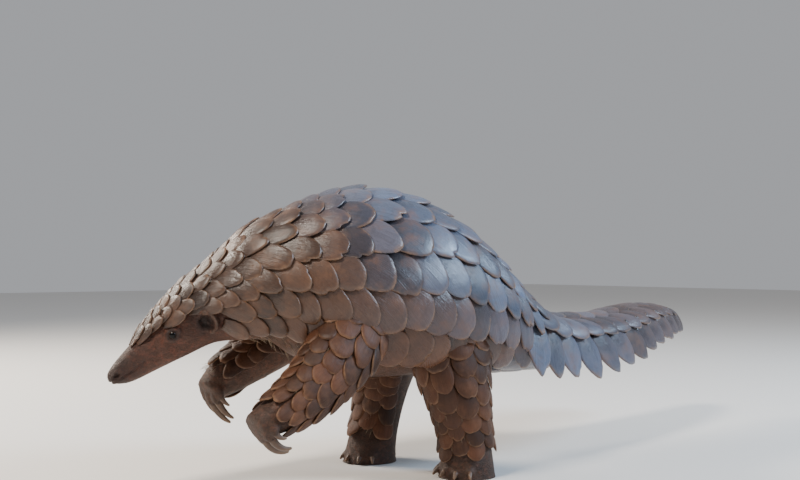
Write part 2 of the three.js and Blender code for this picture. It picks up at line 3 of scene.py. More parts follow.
import bmesh
import bpy
import numpy as np
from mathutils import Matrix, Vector


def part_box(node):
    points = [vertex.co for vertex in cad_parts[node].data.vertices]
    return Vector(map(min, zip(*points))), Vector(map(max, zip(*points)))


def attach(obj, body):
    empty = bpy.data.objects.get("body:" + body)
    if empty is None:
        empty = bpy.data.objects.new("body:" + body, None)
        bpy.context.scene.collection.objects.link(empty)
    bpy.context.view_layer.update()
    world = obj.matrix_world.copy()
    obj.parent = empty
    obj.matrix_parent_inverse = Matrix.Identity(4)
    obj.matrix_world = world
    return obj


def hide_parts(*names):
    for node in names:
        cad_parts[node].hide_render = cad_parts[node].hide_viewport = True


bl_info = {
    "name": "Ground Pangolin",
    "version": (1, 0, 0),
    "blender": (4, 5, 0),
    "location": "View3D > Sidebar > Pangolin",
    "description": "Dresses the solid model of a walking ground pangolin with skin, plates and claws",
    "category": "Object",
}

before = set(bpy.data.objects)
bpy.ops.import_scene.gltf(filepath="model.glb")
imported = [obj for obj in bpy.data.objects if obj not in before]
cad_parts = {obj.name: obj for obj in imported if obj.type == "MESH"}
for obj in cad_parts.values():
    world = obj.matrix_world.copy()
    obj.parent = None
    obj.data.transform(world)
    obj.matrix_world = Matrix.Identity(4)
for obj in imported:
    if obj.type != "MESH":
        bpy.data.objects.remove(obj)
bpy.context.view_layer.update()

MM = 0.001
HEADWARD = np.array([-1.0, 0.0, 0.0])
UPWARD = np.array([0.0, 0.0, 1.0])

# The trunk from nose to tail tip, in millimetres, as cross-sections square to the spine:
# spine x, y, z, height above it, depth below it, half width,
# how many degrees from the ridge of the back its plates reach, and the plates' pitch along a row
TRUNK = [
    [-272, 52, 117, 8, 9, 9, 0, 12],
    [-262, 50, 125, 12, 16, 13, 20, 12],
    [-240, 44, 142, 18, 22, 19, 42, 12],
    [-216, 37, 160, 26, 28, 26, 57, 13],
    [-188, 28, 180, 34, 35, 34, 86, 14],
    [-158, 18, 193, 45, 45, 44, 112, 19],
    [-122, 9, 203, 64, 58, 62, 118, 25],
    [-75, 2, 204, 86, 80, 83, 118, 29],
    [-10, 0, 203, 100, 96, 98, 118, 31],
    [55, 0, 192, 92, 90, 100, 116, 31],
    [115, 0, 172, 73, 72, 91, 114, 30],
    [170, 0, 152, 51, 50, 75, 112, 31],
    [225, 3, 139, 35, 36, 63, 100, 36],
    [290, 9, 134, 25, 27, 57, 90, 38],
    [370, 22, 137, 21, 22, 51, 90, 38],
    [450, 41, 146, 18, 18, 44, 90, 37],
    [530, 64, 151, 15, 14, 35, 90, 35],
    [595, 88, 147, 11, 10, 23, 90, 30],
    [634, 103, 138, 5, 5, 10, 90, 26],
]

# Each leg from inside the body to its foot:
# axis x, y, z, half length in front of the axis, half length behind it, half width
LEGS = {
    "hindleg_left": [
        [70, -48, 165, 50, 50, 38],
        [66, -60, 120, 43, 43, 33],
        [70, -66, 85, 34, 33, 29],
        [78, -66, 50, 28, 27, 26],
        [83, -66, 20, 32, 26, 28],
        [84, -66, -8, 37, 29, 31],
    ],
    "hindleg_right": [
        [70, 48, 165, 48, 48, 38],
        [70, 60, 120, 40, 40, 33],
        [66, 66, 85, 33, 32, 29],
        [59, 66, 50, 28, 27, 26],
        [53, 66, 20, 32, 26, 28],
        [50, 66, -8, 37, 29, 31],
    ],
    "foreleg_left": [
        [-55, -52, 165, 42, 38, 32],
        [-90, -70, 136, 34, 34, 29],
        [-124, -77, 110, 27, 28, 25],
        [-156, -79, 92, 20, 21, 22],
        [-190, -79, 78, 12, 13, 17],
    ],
    "foreleg_right": [
        [-55, 52, 165, 38, 38, 32],
        [-88, 62, 141, 31, 30, 28],
        [-120, 62, 122, 25, 24, 23],
        [-148, 60, 108, 20, 20, 20],
        [-167, 60, 96, 12, 13, 17],
    ],
}
# The tables' columns after the place on the axis: the half sizes towards the limb's upper side, away
# from it and sideways, and for the trunk also the plates' reach and pitch
UPPER, LOWER, HALF_WIDTH, REACH, PITCH = range(3, 8)
HEAD_BACK, FACE_BACK = -150.0, -175.0  # where the head and its finer skin end, along X
FACE_LOW, FACE_SLOPE = 135.0, -0.45  # lower edge of the face's colour at the head's back, and its slope
FLESH_NODES = [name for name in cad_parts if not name.startswith("eye")]


def unit(vector):
    return vector / np.linalg.norm(vector, axis=-1, keepdims=True)


def rise(value, width):
    """0 below zero, then evenly up to 1 over a width."""
    return np.clip(value / width, 0, 1)


def blend(first, second, share):
    return first * (1 - share) + second * share


def spot(distance, radius):
    """1 in the middle of a spot, fading to 0 round its radius."""
    return np.exp(-((distance / radius) ** 4))


def ridge(distance, shape):
    """A ridge or a groove, from its height, the distance where it runs and its width."""
    height, at, width = shape
    return height * np.exp(-(((distance - at) / width) ** 2))


def along(rows, t):
    """The rows at t, from 0 to the last row, on smooth curves through the rows of a table."""
    table = np.asarray(rows, float)
    last = len(table) - 1
    t = np.clip(np.asarray(t, float), 0, last)
    i = np.minimum(t.astype(int), last - 1)
    f = (t - i)[..., None]
    b, c = table[i], table[i + 1]
    a = np.where((i > 0)[..., None], table[np.maximum(i - 1, 0)], 2 * b - c)
    d = np.where((i < last - 1)[..., None], table[np.minimum(i + 2, last)], 2 * c - b)
    cubic = (c - a) * f + (2 * a - 5 * b + 4 * c - d) * f**2 + (3 * b - a - 3 * c + d) * f**3
    return b + 0.5 * cubic


class Limb:
    """A rounded body along a table of sections, its upper side turned to a reference direction."""

    def __init__(self, rows, reference):
        self.rows = rows
        self.reference = reference
        self.end = len(rows) - 1

    def frame(self, t):
        """The table's row at t, with the directions to the end, to the upper side and to the flank."""
        t = np.clip(np.asarray(t, float), 0, self.end)
        row = along(self.rows, t)
        step = 1e-3
        ahead = along(self.rows, np.minimum(t + step, self.end))[..., :3]
        behind = along(self.rows, np.maximum(t - step, 0))[..., :3]
        tangent = unit(ahead - behind)
        up = unit(self.reference - tangent * (tangent @ self.reference)[..., None])
        return row, tangent, up, np.cross(tangent, up)

    def point(self, t, phi, lift=0.0):
        """The surface's point at t and at the angle phi from the upper side, lifted off it."""
        t, phi, lift = np.broadcast_arrays(t, phi, lift)
        row, _, up, side = self.frame(t)
        cos, sin = np.cos(phi), np.sin(phi)
        high = np.where(cos > 0, row[..., UPPER], row[..., LOWER]) + lift
        wide = row[..., HALF_WIDTH] + lift
        return row[..., :3] + up * (high * cos)[..., None] + side * (wide * sin)[..., None]

    def scale(self, t, phi):
        """Millimetres of surface for each row of the table, and for each radian round it."""
        step = 0.02
        t0, t1 = max(t - step, 0), min(t + step, self.end)
        lengthwise = np.linalg.norm(self.point(t1, phi) - self.point(t0, phi)) / (t1 - t0)
        crosswise = np.linalg.norm(self.point(t, phi + step) - self.point(t, phi - step)) / (2 * step)
        return lengthwise, crosswise

    def surface(self, t, phi):
        """A point of the surface, with the directions to the end, round the limb and outwards."""
        step = 0.01
        point = self.point(t, phi)
        lengthwise = unit(self.point(t + step, phi) - point)
        crosswise = unit(self.point(t, phi + step) - point)
        return point, lengthwise, crosswise, unit(np.cross(crosswise, lengthwise))


trunk = Limb(TRUNK, UPWARD)
legs = {name: Limb(rows, HEADWARD) for name, rows in LEGS.items()}
SIDES = {"left": -1, "right": 1}
BODY_WIDTH = max(TRUNK, key=lambda row: row[UPPER] + row[LOWER])[HALF_WIDTH]  # where the body is deepest

# The head's features, each by its t along the trunk and its angle from the ridge
EYE, EYE_RADIUS, EYE_DEPTH = (2.9, 1.52), 4.4, 0.9
EAR, EAR_RADIUS = (3.87, 1.78), 11.0
NOSTRIL = (0.22, 1.5)
NOSE_T, NOSE_SIZE = 0.15, (6.6, 7.6, 8.0)
MOUTH_DROP, MOUTH_END = 0.3, 1.9  # share of the depth below the spine, and how far back it runs


def on_head(feature, side):
    """A feature's point on one side of the head, with the directions tailward, vertical and outward."""
    t, angle = feature
    point, tailward, _, outward = trunk.surface(t, -side * angle)
    return point, tailward, np.cross(outward, tailward), outward


EAR_POINTS = [on_head(EAR, side)[0] for side in SIDES.values()]


def eye_centre(side):
    point, _, _, outward = on_head(EYE, side)
    return point - outward * EYE_DEPTH


def box_centre(node):
    low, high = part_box(node)
    return (np.array(low) + np.array(high)) / 2


# Where the tables' origin lies in the frame, read from where the model has its eyes
SHIFT = np.mean(
    [box_centre(f"eye_{name}") - eye_centre(side) * MM for name, side in SIDES.items()], axis=0,
)
SHIFT[2] = 0.0


def placed(points):
    """Points from the tables' millimetres to the frame's metres."""
    return np.asarray(points, float) * MM + SHIFT


def in_tables(points):
    """Points from the frame's metres to the tables' millimetres."""
    return (points - SHIFT) / MM


def settings(context):
    return context.scene.pangolin


class PangolinSettings(bpy.types.PropertyGroup):
    """Sizes and colours of the dressed animal."""

    plate_thickness: bpy.props.FloatProperty(
        name="Plate Thickness", description="Thickness of a body plate in its middle",
        subtype="DISTANCE", unit="LENGTH", default=0.0018, min=0.0005, max=0.004)
    plate_lift: bpy.props.FloatProperty(
        name="Plate Lift", description="How far a plate's free tip stands off the skin",
        subtype="DISTANCE", unit="LENGTH", default=0.0088, min=0.001, max=0.012)
    plate_wear: bpy.props.FloatProperty(
        name="Plate Wear", description="How ragged the plates' rims are", subtype="FACTOR",
        default=1.3, min=0, max=3)
    front_colour: bpy.props.FloatVectorProperty(
        name="Front Plates", description="Horn of the neck and shoulders", subtype="COLOR",
        size=3, min=0, max=1, default=(0.070, 0.036, 0.022))
    # slate blue-grey horn, partly a painted reflection of the blue sky on the back and rump
    back_colour_and_painted_sky: bpy.props.FloatVectorProperty(
        name="Back Plates", description="Horn of the back and rump", subtype="COLOR",
        size=3, min=0, max=1, default=(0.100, 0.122, 0.178))
    low_colour: bpy.props.FloatVectorProperty(
        name="Low Plates", description="Dusty horn of the flank's lower rows", subtype="COLOR",
        size=3, min=0, max=1, default=(0.115, 0.042, 0.017))
    rim_colour: bpy.props.FloatVectorProperty(
        name="Plate Rims", description="Worn, paler rims of the plates", subtype="COLOR",
        size=3, min=0, max=1, default=(0.23, 0.125, 0.068))
    face_colour: bpy.props.FloatVectorProperty(
        name="Face", description="Bare skin of the face", subtype="COLOR",
        size=3, min=0, max=1, default=(0.068, 0.025, 0.013))
    leg_colour: bpy.props.FloatVectorProperty(
        name="Legs", description="Skin of the legs and feet", subtype="COLOR",
        size=3, min=0, max=1, default=(0.046, 0.022, 0.012))
    belly_colour: bpy.props.FloatVectorProperty(
        name="Belly", description="Skin of the belly and throat", subtype="COLOR",
        size=3, min=0, max=1, default=(0.11, 0.054, 0.031))
    claw_colour: bpy.props.FloatVectorProperty(
        name="Claws", description="Horn of the claws", subtype="COLOR",
        size=3, min=0, max=1, default=(0.090, 0.046, 0.024))
    skin_detail: bpy.props.FloatProperty(
        name="Skin Detail", description="Size of the skin's mesh cells", subtype="DISTANCE",
        unit="LENGTH", default=0.0026, min=0.001, max=0.01)
    floor_size: bpy.props.FloatProperty(
        name="Floor Size", description="Side of the studio floor", subtype="DISTANCE",
        unit="LENGTH", default=14.0, min=2, max=40)


def make_mesh(name, points, faces, attributes=None, bake_map=None):
    """An object from points in the tables' millimetres, with values, colours and map places on them."""
    mesh = bpy.data.meshes.new(name)
    mesh.from_pydata(placed(points).tolist(), [], faces)
    mesh.polygons.foreach_set("use_smooth", np.ones(len(mesh.polygons), bool))
    for key, values in (attributes or {}).items():
        values = np.asarray(values, np.float32)
        if values.ndim == 1:
            mesh.attributes.new(key, "FLOAT", "POINT").data.foreach_set("value", values)
        else:
            colour = np.concatenate([values, np.ones((len(values), 1), np.float32)], axis=1)
            mesh.attributes.new(key, "FLOAT_COLOR", "POINT").data.foreach_set("color", colour.ravel())
    if bake_map is not None:
        corner = np.zeros(len(mesh.loops), np.int32)
        mesh.loops.foreach_get("vertex_index", corner)
        uv = mesh.uv_layers.new(name="OFBake")
        uv.data.foreach_set("uv", np.asarray(bake_map, np.float32)[corner].ravel())
    mesh.update()
    piece = bpy.data.objects.new(name, mesh)
    bpy.context.scene.collection.objects.link(piece)
    return piece


def finish_piece(piece, material, nodes=()):
    piece.data.materials.append(material)
    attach(piece, "root")
    if nodes:
        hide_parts(*nodes)


def closed_faces(rings, around):
    """Faces of a closed surface of rings of points, followed by the poles before and after them."""
    faces = []
    for r in range(rings - 1):
        here, after = r * around, (r + 1) * around
        for k in range(around):
            n = (k + 1) % around
            faces.append((here + k, here + n, after + n, after + k))
    first, last, end = rings * around, rings * around + 1, (rings - 1) * around
    for k in range(around):
        n = (k + 1) % around
        faces.append((first, n, k))
        faces.append((last, end + k, end + n))
    return faces


CROWDING = 0.3  # how far a limb's rings draw together towards its ends


def limb_shape(limb, around, lengthwise, grow=0.0):
    """A limb's closed surface, a little larger or smaller than its table gives."""
    turn = np.linspace(0, 2 * math.pi, around, endpoint=False)
    crowded = (1 - np.cos(np.linspace(0, math.pi, lengthwise + 2)[1:-1])) / 2 * limb.end
    even = np.linspace(0, limb.end, lengthwise + 2)[1:-1]
    t = CROWDING * crowded + (1 - CROWDING) * even
    rings = limb.point(t[:, None], turn[None, :], grow)
    (start, start_tangent), (end, end_tangent) = (limb.frame(at)[:2] for at in (0.0, limb.end))
    poles = [start[:3] - start_tangent * max(grow, 0), end[:3] + end_tangent * max(grow, 0)]
    return np.concatenate([rings.reshape(-1, 3), poles]), closed_faces(lengthwise, around)


def ellipsoid(middle, x, y, size, around=24, high=14):
    """An ellipsoid's points and faces, with its half sizes along x, y and the direction square to both."""
    z = np.cross(x, y)
    polar = np.linspace(0, math.pi, high + 1)[1:-1]
    turn = np.linspace(0, 2 * math.pi, around, endpoint=False)
    p, a = np.meshgrid(polar, turn, indexing="ij")
    ring = np.sin(p)
    local = np.stack([ring * np.cos(a) * size[0], ring * np.sin(a) * size[1], np.cos(p) * size[2]], -1)
    rings = middle + local[..., 0:1] * x + local[..., 1:2] * y + local[..., 2:3] * z
    points = np.concatenate([rings.reshape(-1, 3), [middle + z * size[2], middle - z * size[2]]])
    return points, [(face[0], *face[:0:-1]) for face in closed_faces(len(polar), around)]


def joined(shapes):
    points, faces, start = [], [], 0
    for shape_points, shape_faces in shapes:
        points.append(shape_points)
        faces.extend(tuple(start + i for i in face) for face in shape_faces)
        start += len(shape_points)
    return np.concatenate(points), faces


# The forefoot's claws: how far each stands from the middle, its length and its width
FORE_CLAWS = [(-17, 22, 6.6), (-9.8, 40, 8.8), (0, 48, 9.8), (9.8, 40, 8.8), (17, 22, 6.6)]
# The angle a claw starts below level, and how far it turns along its length
FORE_CURL = {"foreleg_left": (1.3, 2.0), "foreleg_right": (1.53, 1.15)}
CLAWS_BACK = 0.35  # how far before the foreleg's end its claws are rooted, in rows of its table
SPLAY = 0.012  # how much each claw turns outwards for every millimetre from the middle
HIND_CLAWS = [-0.95, -0.5, -0.02, 0.46, 0.92]  # angles from straight ahead
HIND_CLAW_LONG, HIND_CLAW_WIDE, HIND_CLAW_HIGH, HIND_CURL = 13.6, 6.5, 9.0, 1.0
CLAW_STEPS = 12  # rows of a claw's own table, after the first
CLAW_POINT, CLAW_TAPER, CLAW_BROAD = 0.9, 0.45, 1.15  # rounding of the tip, taper, width over height
CLAW_AROUND, CLAW_RINGS, CLAW_GROW = 20, 28, 0.3
# The fleshy root of a claw: its row in the claw's table, and its half sizes over the claw's half width
KNUCKLE_AT, KNUCKLE_WIDE, KNUCKLE_HIGH, FORE_KNUCKLE, HIND_KNUCKLE = 2.2, 1.4, 1.2, 2.3, 1.6


def claw_limb(root, out, inward, long, wide, curl):
    """A tapered hook on part of a circle, which starts along one direction and turns towards another."""
    rows = []
    radius = long / curl
    for i in range(CLAW_STEPS + 1):
        s = i / CLAW_STEPS
        at = root + out * radius * math.sin(curl * s) + inward * radius * (1 - math.cos(curl * s))
        half = wide / 2 * math.sqrt(1 - CLAW_POINT * s * s) * (1 - CLAW_TAPER * s)
        rows.append([*at, half, half, half * CLAW_BROAD])
    return Limb(rows, np.cross(out, inward))


def fore_claws(name):
    limb = legs[name]
    dip, curl = FORE_CURL[name]
    row, _, _, side = limb.frame(limb.end - CLAWS_BACK)
    out = HEADWARD * math.cos(dip) - UPWARD * math.sin(dip)
    inward = -HEADWARD * math.sin(dip) - UPWARD * math.cos(dip)
    claws = []
    for off, long, wide in FORE_CLAWS:
        forward = unit(out + side * off * SPLAY)
        claws.append(claw_limb(row[:3] + side * off, forward, inward, long, wide, curl))
    return claws


def hind_claws(name):
    row = legs[name].rows[-2]
    reach = 1 - HIND_CLAW_WIDE / 2 / row[UPPER]
    claws = []
    for angle in HIND_CLAWS:
        out = np.array([-math.cos(angle), math.sin(angle), 0.0])
        root = np.array([
            row[0] - row[UPPER] * reach * math.cos(angle),
            row[1] + row[HALF_WIDTH] * reach * math.sin(angle),
            HIND_CLAW_HIGH,
        ])
        claws.append(claw_limb(root, out, -UPWARD, HIND_CLAW_LONG, HIND_CLAW_WIDE, HIND_CURL))
    return claws


def claws_of(name):
    return fore_claws(name) if name.startswith("fore") else hind_claws(name)


class Nodes:
    """Short calls to lay out a material's nodes."""

    def __init__(self, name):
        self.material = bpy.data.materials.new(name)
        self.material.use_nodes = True
        self.tree = self.material.node_tree
        self.tree.nodes.clear()
        self.shader = self.add("ShaderNodeBsdfPrincipled")
        output = self.add("ShaderNodeOutputMaterial")
        self.link(self.shader.outputs[0], output.inputs["Surface"])

    def add(self, kind, **values):
        node = self.tree.nodes.new(kind)
        for key, value in values.items():
            setattr(node, key, value)
        return node

    def link(self, a, b):
        self.tree.links.new(a, b)

    def feed(self, socket, value):
        if isinstance(value, (int, float)):
            socket.default_value = value
        elif isinstance(value, tuple):
            socket.default_value = (*value, 1.0)
        else:
            self.link(value, socket)

    def place(self):
        return self.add("ShaderNodeTexCoord").outputs["Object"]

    def attribute(self, name, output="Fac"):
        return self.add("ShaderNodeAttribute", attribute_name=name).outputs[output]

    def noise(self, scale, detail, rough, vector=None, stretch=None, bend=0.0):
        node = self.add("ShaderNodeTexNoise")
        node.inputs["Scale"].default_value = scale
        node.inputs["Detail"].default_value = detail
        node.inputs["Roughness"].default_value = rough
        node.inputs["Distortion"].default_value = bend
        source = vector or self.place()
        if stretch:
            mapping = self.add("ShaderNodeMapping")
            mapping.inputs["Scale"].default_value = stretch
            self.link(source, mapping.inputs["Vector"])
            source = mapping.outputs["Vector"]
        self.link(source, node.inputs["Vector"])
        return node.outputs["Fac"]

    def cells(self, scale):
        node = self.add("ShaderNodeTexVoronoi", feature="DISTANCE_TO_EDGE")
        node.inputs["Scale"].default_value = scale
        self.link(self.place(), node.inputs["Vector"])
        return node.outputs["Distance"]

    def ramp(self, value, low, high, start=0.0, end=1.0):
        node = self.add("ShaderNodeMapRange", interpolation_type="SMOOTHSTEP")
        self.feed(node.inputs["Value"], value)
        for key, number in (("From Min", low), ("From Max", high), ("To Min", start), ("To Max", end)):
            node.inputs[key].default_value = number
        return node.outputs["Result"]

    def math(self, operation, a, b=0.0):
        node = self.add("ShaderNodeMath", operation=operation)
        self.feed(node.inputs[0], a)
        self.feed(node.inputs[1], b)
        return node.outputs[0]

    def plus(self, a, b):
        return self.math("ADD", a, b)

    def times(self, a, b):
        return self.math("MULTIPLY", a, b)

    def mix(self, factor, a, b, blend_type="MIX"):
        node = self.add("ShaderNodeMix", data_type="RGBA", blend_type=blend_type)
        self.feed(node.inputs["Factor"], factor)
        self.feed(node.inputs["A"], a)
        self.feed(node.inputs["B"], b)
        return node.outputs["Result"]

    def shaded(self, colour, by):
        """A colour made darker or lighter by a factor for red, green and blue."""
        return self.mix(1.0, colour, by, "MULTIPLY")

    def combine(self, x, y, z):
        node = self.add("ShaderNodeCombineXYZ")
        for socket, value in zip(node.inputs, (x, y, z)):
            self.feed(socket, value)
        return node.outputs[0]

    def bump(self, height, strength, distance, under=None):
        node = self.add("ShaderNodeBump")
        node.inputs["Strength"].default_value = strength
        node.inputs["Distance"].default_value = distance
        self.link(height, node.inputs["Height"])
        if under:
            self.link(under, node.inputs["Normal"])
        return node.outputs["Normal"]

    def surface(self, colour, roughness, normal, specular):
        self.feed(self.shader.inputs["Base Color"], colour)
        self.feed(self.shader.inputs["Roughness"], roughness)
        self.shader.inputs["Specular IOR Level"].default_value = specular
        if normal:
            self.link(normal, self.shader.inputs["Normal"])
        return self.material


# Colours that aren't settings
PLATE_DUST, SKIN_DUST, CLAW_DUST = (0.19, 0.082, 0.038), (0.17, 0.075, 0.040), (0.2, 0.11, 0.065)
CLAW_GRAIN, CLAW_TIP = (0.050, 0.025, 0.014), (0.22, 0.13, 0.07)
PUPIL, IRIS_DARK, IRIS_LIGHT = (0.001, 0.001, 0.001), (0.012, 0.006, 0.004), (0.04, 0.018, 0.01)
EAR_RIM = (0.085, 0.052, 0.036)
BRISTLE_COLOUR = (0.36, 0.27, 0.18)
FLOOR_COLOUR = (0.72, 0.70, 0.67)
HORN_ROUGHNESS = (0.22, 0.38)  # where the horn is smoothest and where it is most matt


def plate_horn(choice, name="plate_horn", dull=0.0):
    """Horn of the plates: striae that fan out from the root, growth lines, dust, worn pale rims and painted
    shade towards the root.
    """
    n = Nodes(name)
    tint = n.attribute("tint", "Color")
    reach = n.attribute("reach")
    on_plate = n.combine(n.attribute("across"), reach, n.attribute("luck"))
    striae = n.noise(34.0, detail=3.0, rough=0.6, vector=on_plate, stretch=(1.0, 0.055, 7.0))
    growth = n.noise(17.0, detail=3.0, rough=0.5, vector=on_plate, stretch=(0.12, 1.0, 7.0))
    patches = n.noise(38.0, detail=5.0, rough=0.6)
    grime = n.noise(120.0, detail=4.0, rough=0.65)
    streaks = n.ramp(striae, 0.36, 0.66)
    colour = n.mix(n.times(streaks, 0.42), tint, n.shaded(tint, (0.42, 0.38, 0.36)))
    lines = n.ramp(growth, 0.5, 0.72, end=0.3)
    colour = n.mix(lines, colour, n.shaded(tint, (0.5, 0.46, 0.42)))
    # painted shade: the horn darkens towards the root, where the plate above overlaps it
    root_painted_shade = n.ramp(reach, 0.25, 0.75, start=0.55, end=0.0)
    colour = n.mix(root_painted_shade, colour, n.shaded(colour, (0.35, 0.30, 0.27)))
    dust = n.ramp(n.plus(patches, n.times(grime, 0.45)), 0.66, 1.0, end=0.4)
    colour = n.mix(dust, colour, PLATE_DUST)
    edge = n.plus(reach, n.times(n.math("SUBTRACT", grime, 0.5), 0.14))
    worn = n.ramp(n.noise(55.0, detail=3.0, rough=0.6), 0.38, 0.60, start=0.12)
    rim = n.times(n.ramp(edge, 0.90, 1.03, end=0.85), worn)
    colour = n.mix(rim, colour, tuple(choice.rim_colour))
    smooth, matt = HORN_ROUGHNESS
    rough = n.plus(n.ramp(patches, 0.3, 0.7, start=smooth + dull, end=matt + dull), n.times(streaks, 0.08))
    relief = n.plus(n.times(striae, 0.8), n.times(growth, 0.35))
    relief = n.times(relief, n.ramp(reach, 0.78, 1.0, start=1.0, end=0.45))
    normal = n.bump(relief, strength=0.55, distance=0.0011)
    grit = n.noise(520.0, detail=3.0, rough=0.6)
    normal = n.bump(grit, strength=0.18, distance=0.0006, under=normal)
    return n.surface(colour, rough, normal, specular=0.5 - dull)


def flesh():
    """Bare, wrinkled skin, coloured by the part of the body, with painted shade along its creases and in the
    hollows of the face.
    """
    n = Nodes("flesh")
    tint = n.attribute("tint", "Color")
    blotch = n.noise(26.0, detail=6.0, rough=0.62)
    fine = n.noise(190.0, detail=5.0, rough=0.65)
    pores = n.cells(420.0)
    folds = n.noise(150.0, detail=3.0, rough=0.55, stretch=(1.0, 1.0, 2.2), bend=1.2)
    creases = n.noise(60.0, detail=6.0, rough=0.6, stretch=(1.0, 1.0, 2.6), bend=0.6)
    colour = n.mix(n.ramp(blotch, 0.35, 0.7, end=0.55), tint, n.shaded(tint, (0.55, 0.48, 0.45)))
    colour = n.mix(n.ramp(fine, 0.42, 0.72, end=0.7), colour, n.shaded(tint, (2.3, 1.75, 1.6)))
    crease = n.ramp(n.math("ABSOLUTE", n.math("SUBTRACT", folds, 0.5)), 0.0, 0.05)
    # painted shade along the creases of the folds
    crease_painted_shade = n.math("SUBTRACT", 0.5, n.times(crease, 0.5))
    colour = n.mix(crease_painted_shade, colour, n.shaded(tint, (0.35, 0.3, 0.28)))
    dust = n.ramp(n.noise(44.0, detail=4.0, rough=0.6), 0.58, 0.85, end=0.3)
    colour = n.mix(dust, colour, SKIN_DUST)
    relief = n.plus(n.times(crease, 0.8), n.times(creases, 1.4))
    normal = n.bump(relief, strength=0.6, distance=0.0012)
    grain = n.plus(n.ramp(pores, 0.0, 0.25), fine)
    normal = n.bump(grain, strength=0.35, distance=0.0004, under=normal)
    return n.surface(colour, n.ramp(blotch, 0.3, 0.7, start=0.52, end=0.72), normal, specular=0.4)


def claw_horn(choice):
    """Brown horn with lengthwise grain, worn paler at the tips."""
    n = Nodes("claw_horn")
    reach = n.attribute("reach")
    on_claw = n.combine(n.attribute("across"), reach, 0.0)
    grain = n.noise(9.0, detail=4.0, rough=0.6, vector=on_claw, stretch=(3.0, 0.35, 1.0))
    colour = n.mix(n.ramp(grain, 0.35, 0.7, end=0.6), tuple(choice.claw_colour), CLAW_GRAIN)
    colour = n.mix(n.ramp(reach, 0.55, 1.0, end=0.5), colour, CLAW_TIP)
    dust = n.ramp(n.noise(150.0, detail=4.0, rough=0.6), 0.5, 0.75, end=0.4)
    colour = n.mix(dust, colour, CLAW_DUST)
    normal = n.bump(grain, strength=0.5, distance=0.0006)
    return n.surface(colour, n.ramp(grain, 0.3, 0.7, start=0.34, end=0.5), normal, specular=0.5)


def eye_gloss():
    """A dark wet eye with a barely lighter brown iris."""
    n = Nodes("eye_gloss")
    brown = n.mix(n.noise(900.0, detail=3.0, rough=0.6), IRIS_DARK, IRIS_LIGHT)
    colour = n.mix(n.ramp(n.attribute("reach"), 0.42, 0.5), PUPIL, brown)
    material = n.surface(colour, 0.1, None, specular=0.15)
    n.shader.inputs["Coat Weight"].default_value = 0.12
    n.shader.inputs["Coat Roughness"].default_value = 0.03
    return material


# The lattice that the plates follow: rows round a limb and half steps along it
BODY_ROWS, BODY_SCUTED, BODY_FIRST, BODY_LAST = 16, 5, 2.3, 11.75
FRINGE_FIRST, FRINGE_LAST = 4.5, 11.3  # where one more row hangs below the flank
TAIL_ROWS, TAIL_START, TAIL_FIRST, TAIL_EDGE_ROW = 8, 11.0, 11.45, 2
LEG_ROWS, LEG_PITCH = 10, 17.0
LEG_SPAN = {"hind": (0.5, 4.1), "fore": (0.35, 3.6)}  # where a leg's plates begin and end along it
LEG_BARE = (-3, 5)  # the first rows without plates, on the inner and the outer side
BODY_STRAY, TAIL_STRAY, LEG_STRAY = 0.09, 0.07, 0.1  # how far the tips stray along their rows
ROW_STRAY = 0.6  # how far they stray across their rows, as a share of that
# The groups of body plates from nose to rump: grid across and lengthwise, seed, and where along t each ends
BODY_GROUPS = {
    "plates_head": (15, 9, 3, 4.75),
    "plates_neck": (19, 10, 5, 6.6),
    "plates_shoulders": (27, 12, 7, 8.6),
    "plates_rump": (25, 11, 9, trunk.end),
}
HEAD_TURN, LEG_TURN = 0.2, 0.18  # how far the plates of head and legs stray from their line, in radians
# A plate's length over its pitch, and its width over the rows' spacing
BODY_LONG, BODY_WIDE, TURN_STRETCH = 1.78, 1.32, 0.22
TAIL_LONG, TAIL_SIDE_LONG, TAIL_WIDE, TAIL_UNDER_WIDE = 1.72, 1.75, 1.36, 1.18
LEG_LONG, LEG_WIDE = 1.7, (1.1, 1.35)
# Thickness, lift and dome where the settings don't give them, in millimetres
BODY_DOME, TAIL_DOME, TAIL_LIFT, TAIL_UNDER_LIFT = 1.7, 1.3, 7.5, 2.6
LEG_THICK, LEG_LIFT, LEG_DOME, LEG_DULL = 1.5, 3.6, 1.2, 0.2
OUTER_LIFT = 1.25  # how much further the flank's lowest rows stand off
BODY_LEAST, TAIL_LEAST = 0.30, 0.42  # what plate_scale starts from on body and tail
SHORTENED = (1.0, 0.75, 0.55, 0.4)  # lengths that are tried near an ear
# The plates beside the tail's ridge: the angle their tips reach, the one they lie about, and their turn
TAIL_SIDE, TAIL_ABOUT, TAIL_TURN = 1.34, 0.85, 44
MARGIN_FIRST, MARGIN_LAST = 11.1, 17.7
HANG = (MARGIN_FIRST, 14, MARGIN_LAST), (1.35, 0.9, 0.2)  # the edge plates' angle below the tail's line
MARGIN_LONG, MARGIN_WIDE, MARGIN_THICK, MARGIN_LIFT = 62, 40, 2.0, 0.6
MARGIN_ROOT = 0.22  # share of an edge plate's length that lies inside the tail
# How far the body's plates point down the flank, in degrees, by t, and the angle where they reach that
TURN, TURN_FULL = ((2, 4, 5.5, 11, 11.7), (12, 22, 38, 46, 40)), 80


def half_steps(limb, start, stop, pitch):
    """Places along a limb, about half a pitch apart, with an even number of steps between them."""
    steps, t = [start], start
    while t < stop or len(steps) % 2 == 0:
        here = min(t, limb.end - 0.1)
        t += pitch(here) / 2 / limb.scale(here, math.pi / 2)[0]
        steps.append(t)
    return [start + (step - start) * (stop - start) / (t - start) for step in steps]


def reach_at(t):
    return math.radians(float(along(TRUNK, t)[REACH]))


def pitch_at(t):
    return float(along(TRUNK, t)[PITCH])


def plate_scale(t, least):
    """How large a plate is at t, from its least share on a narrow part up to 1."""
    return min(1.0, least + float(along(TRUNK, t)[HALF_WIDTH]) / BODY_WIDTH)


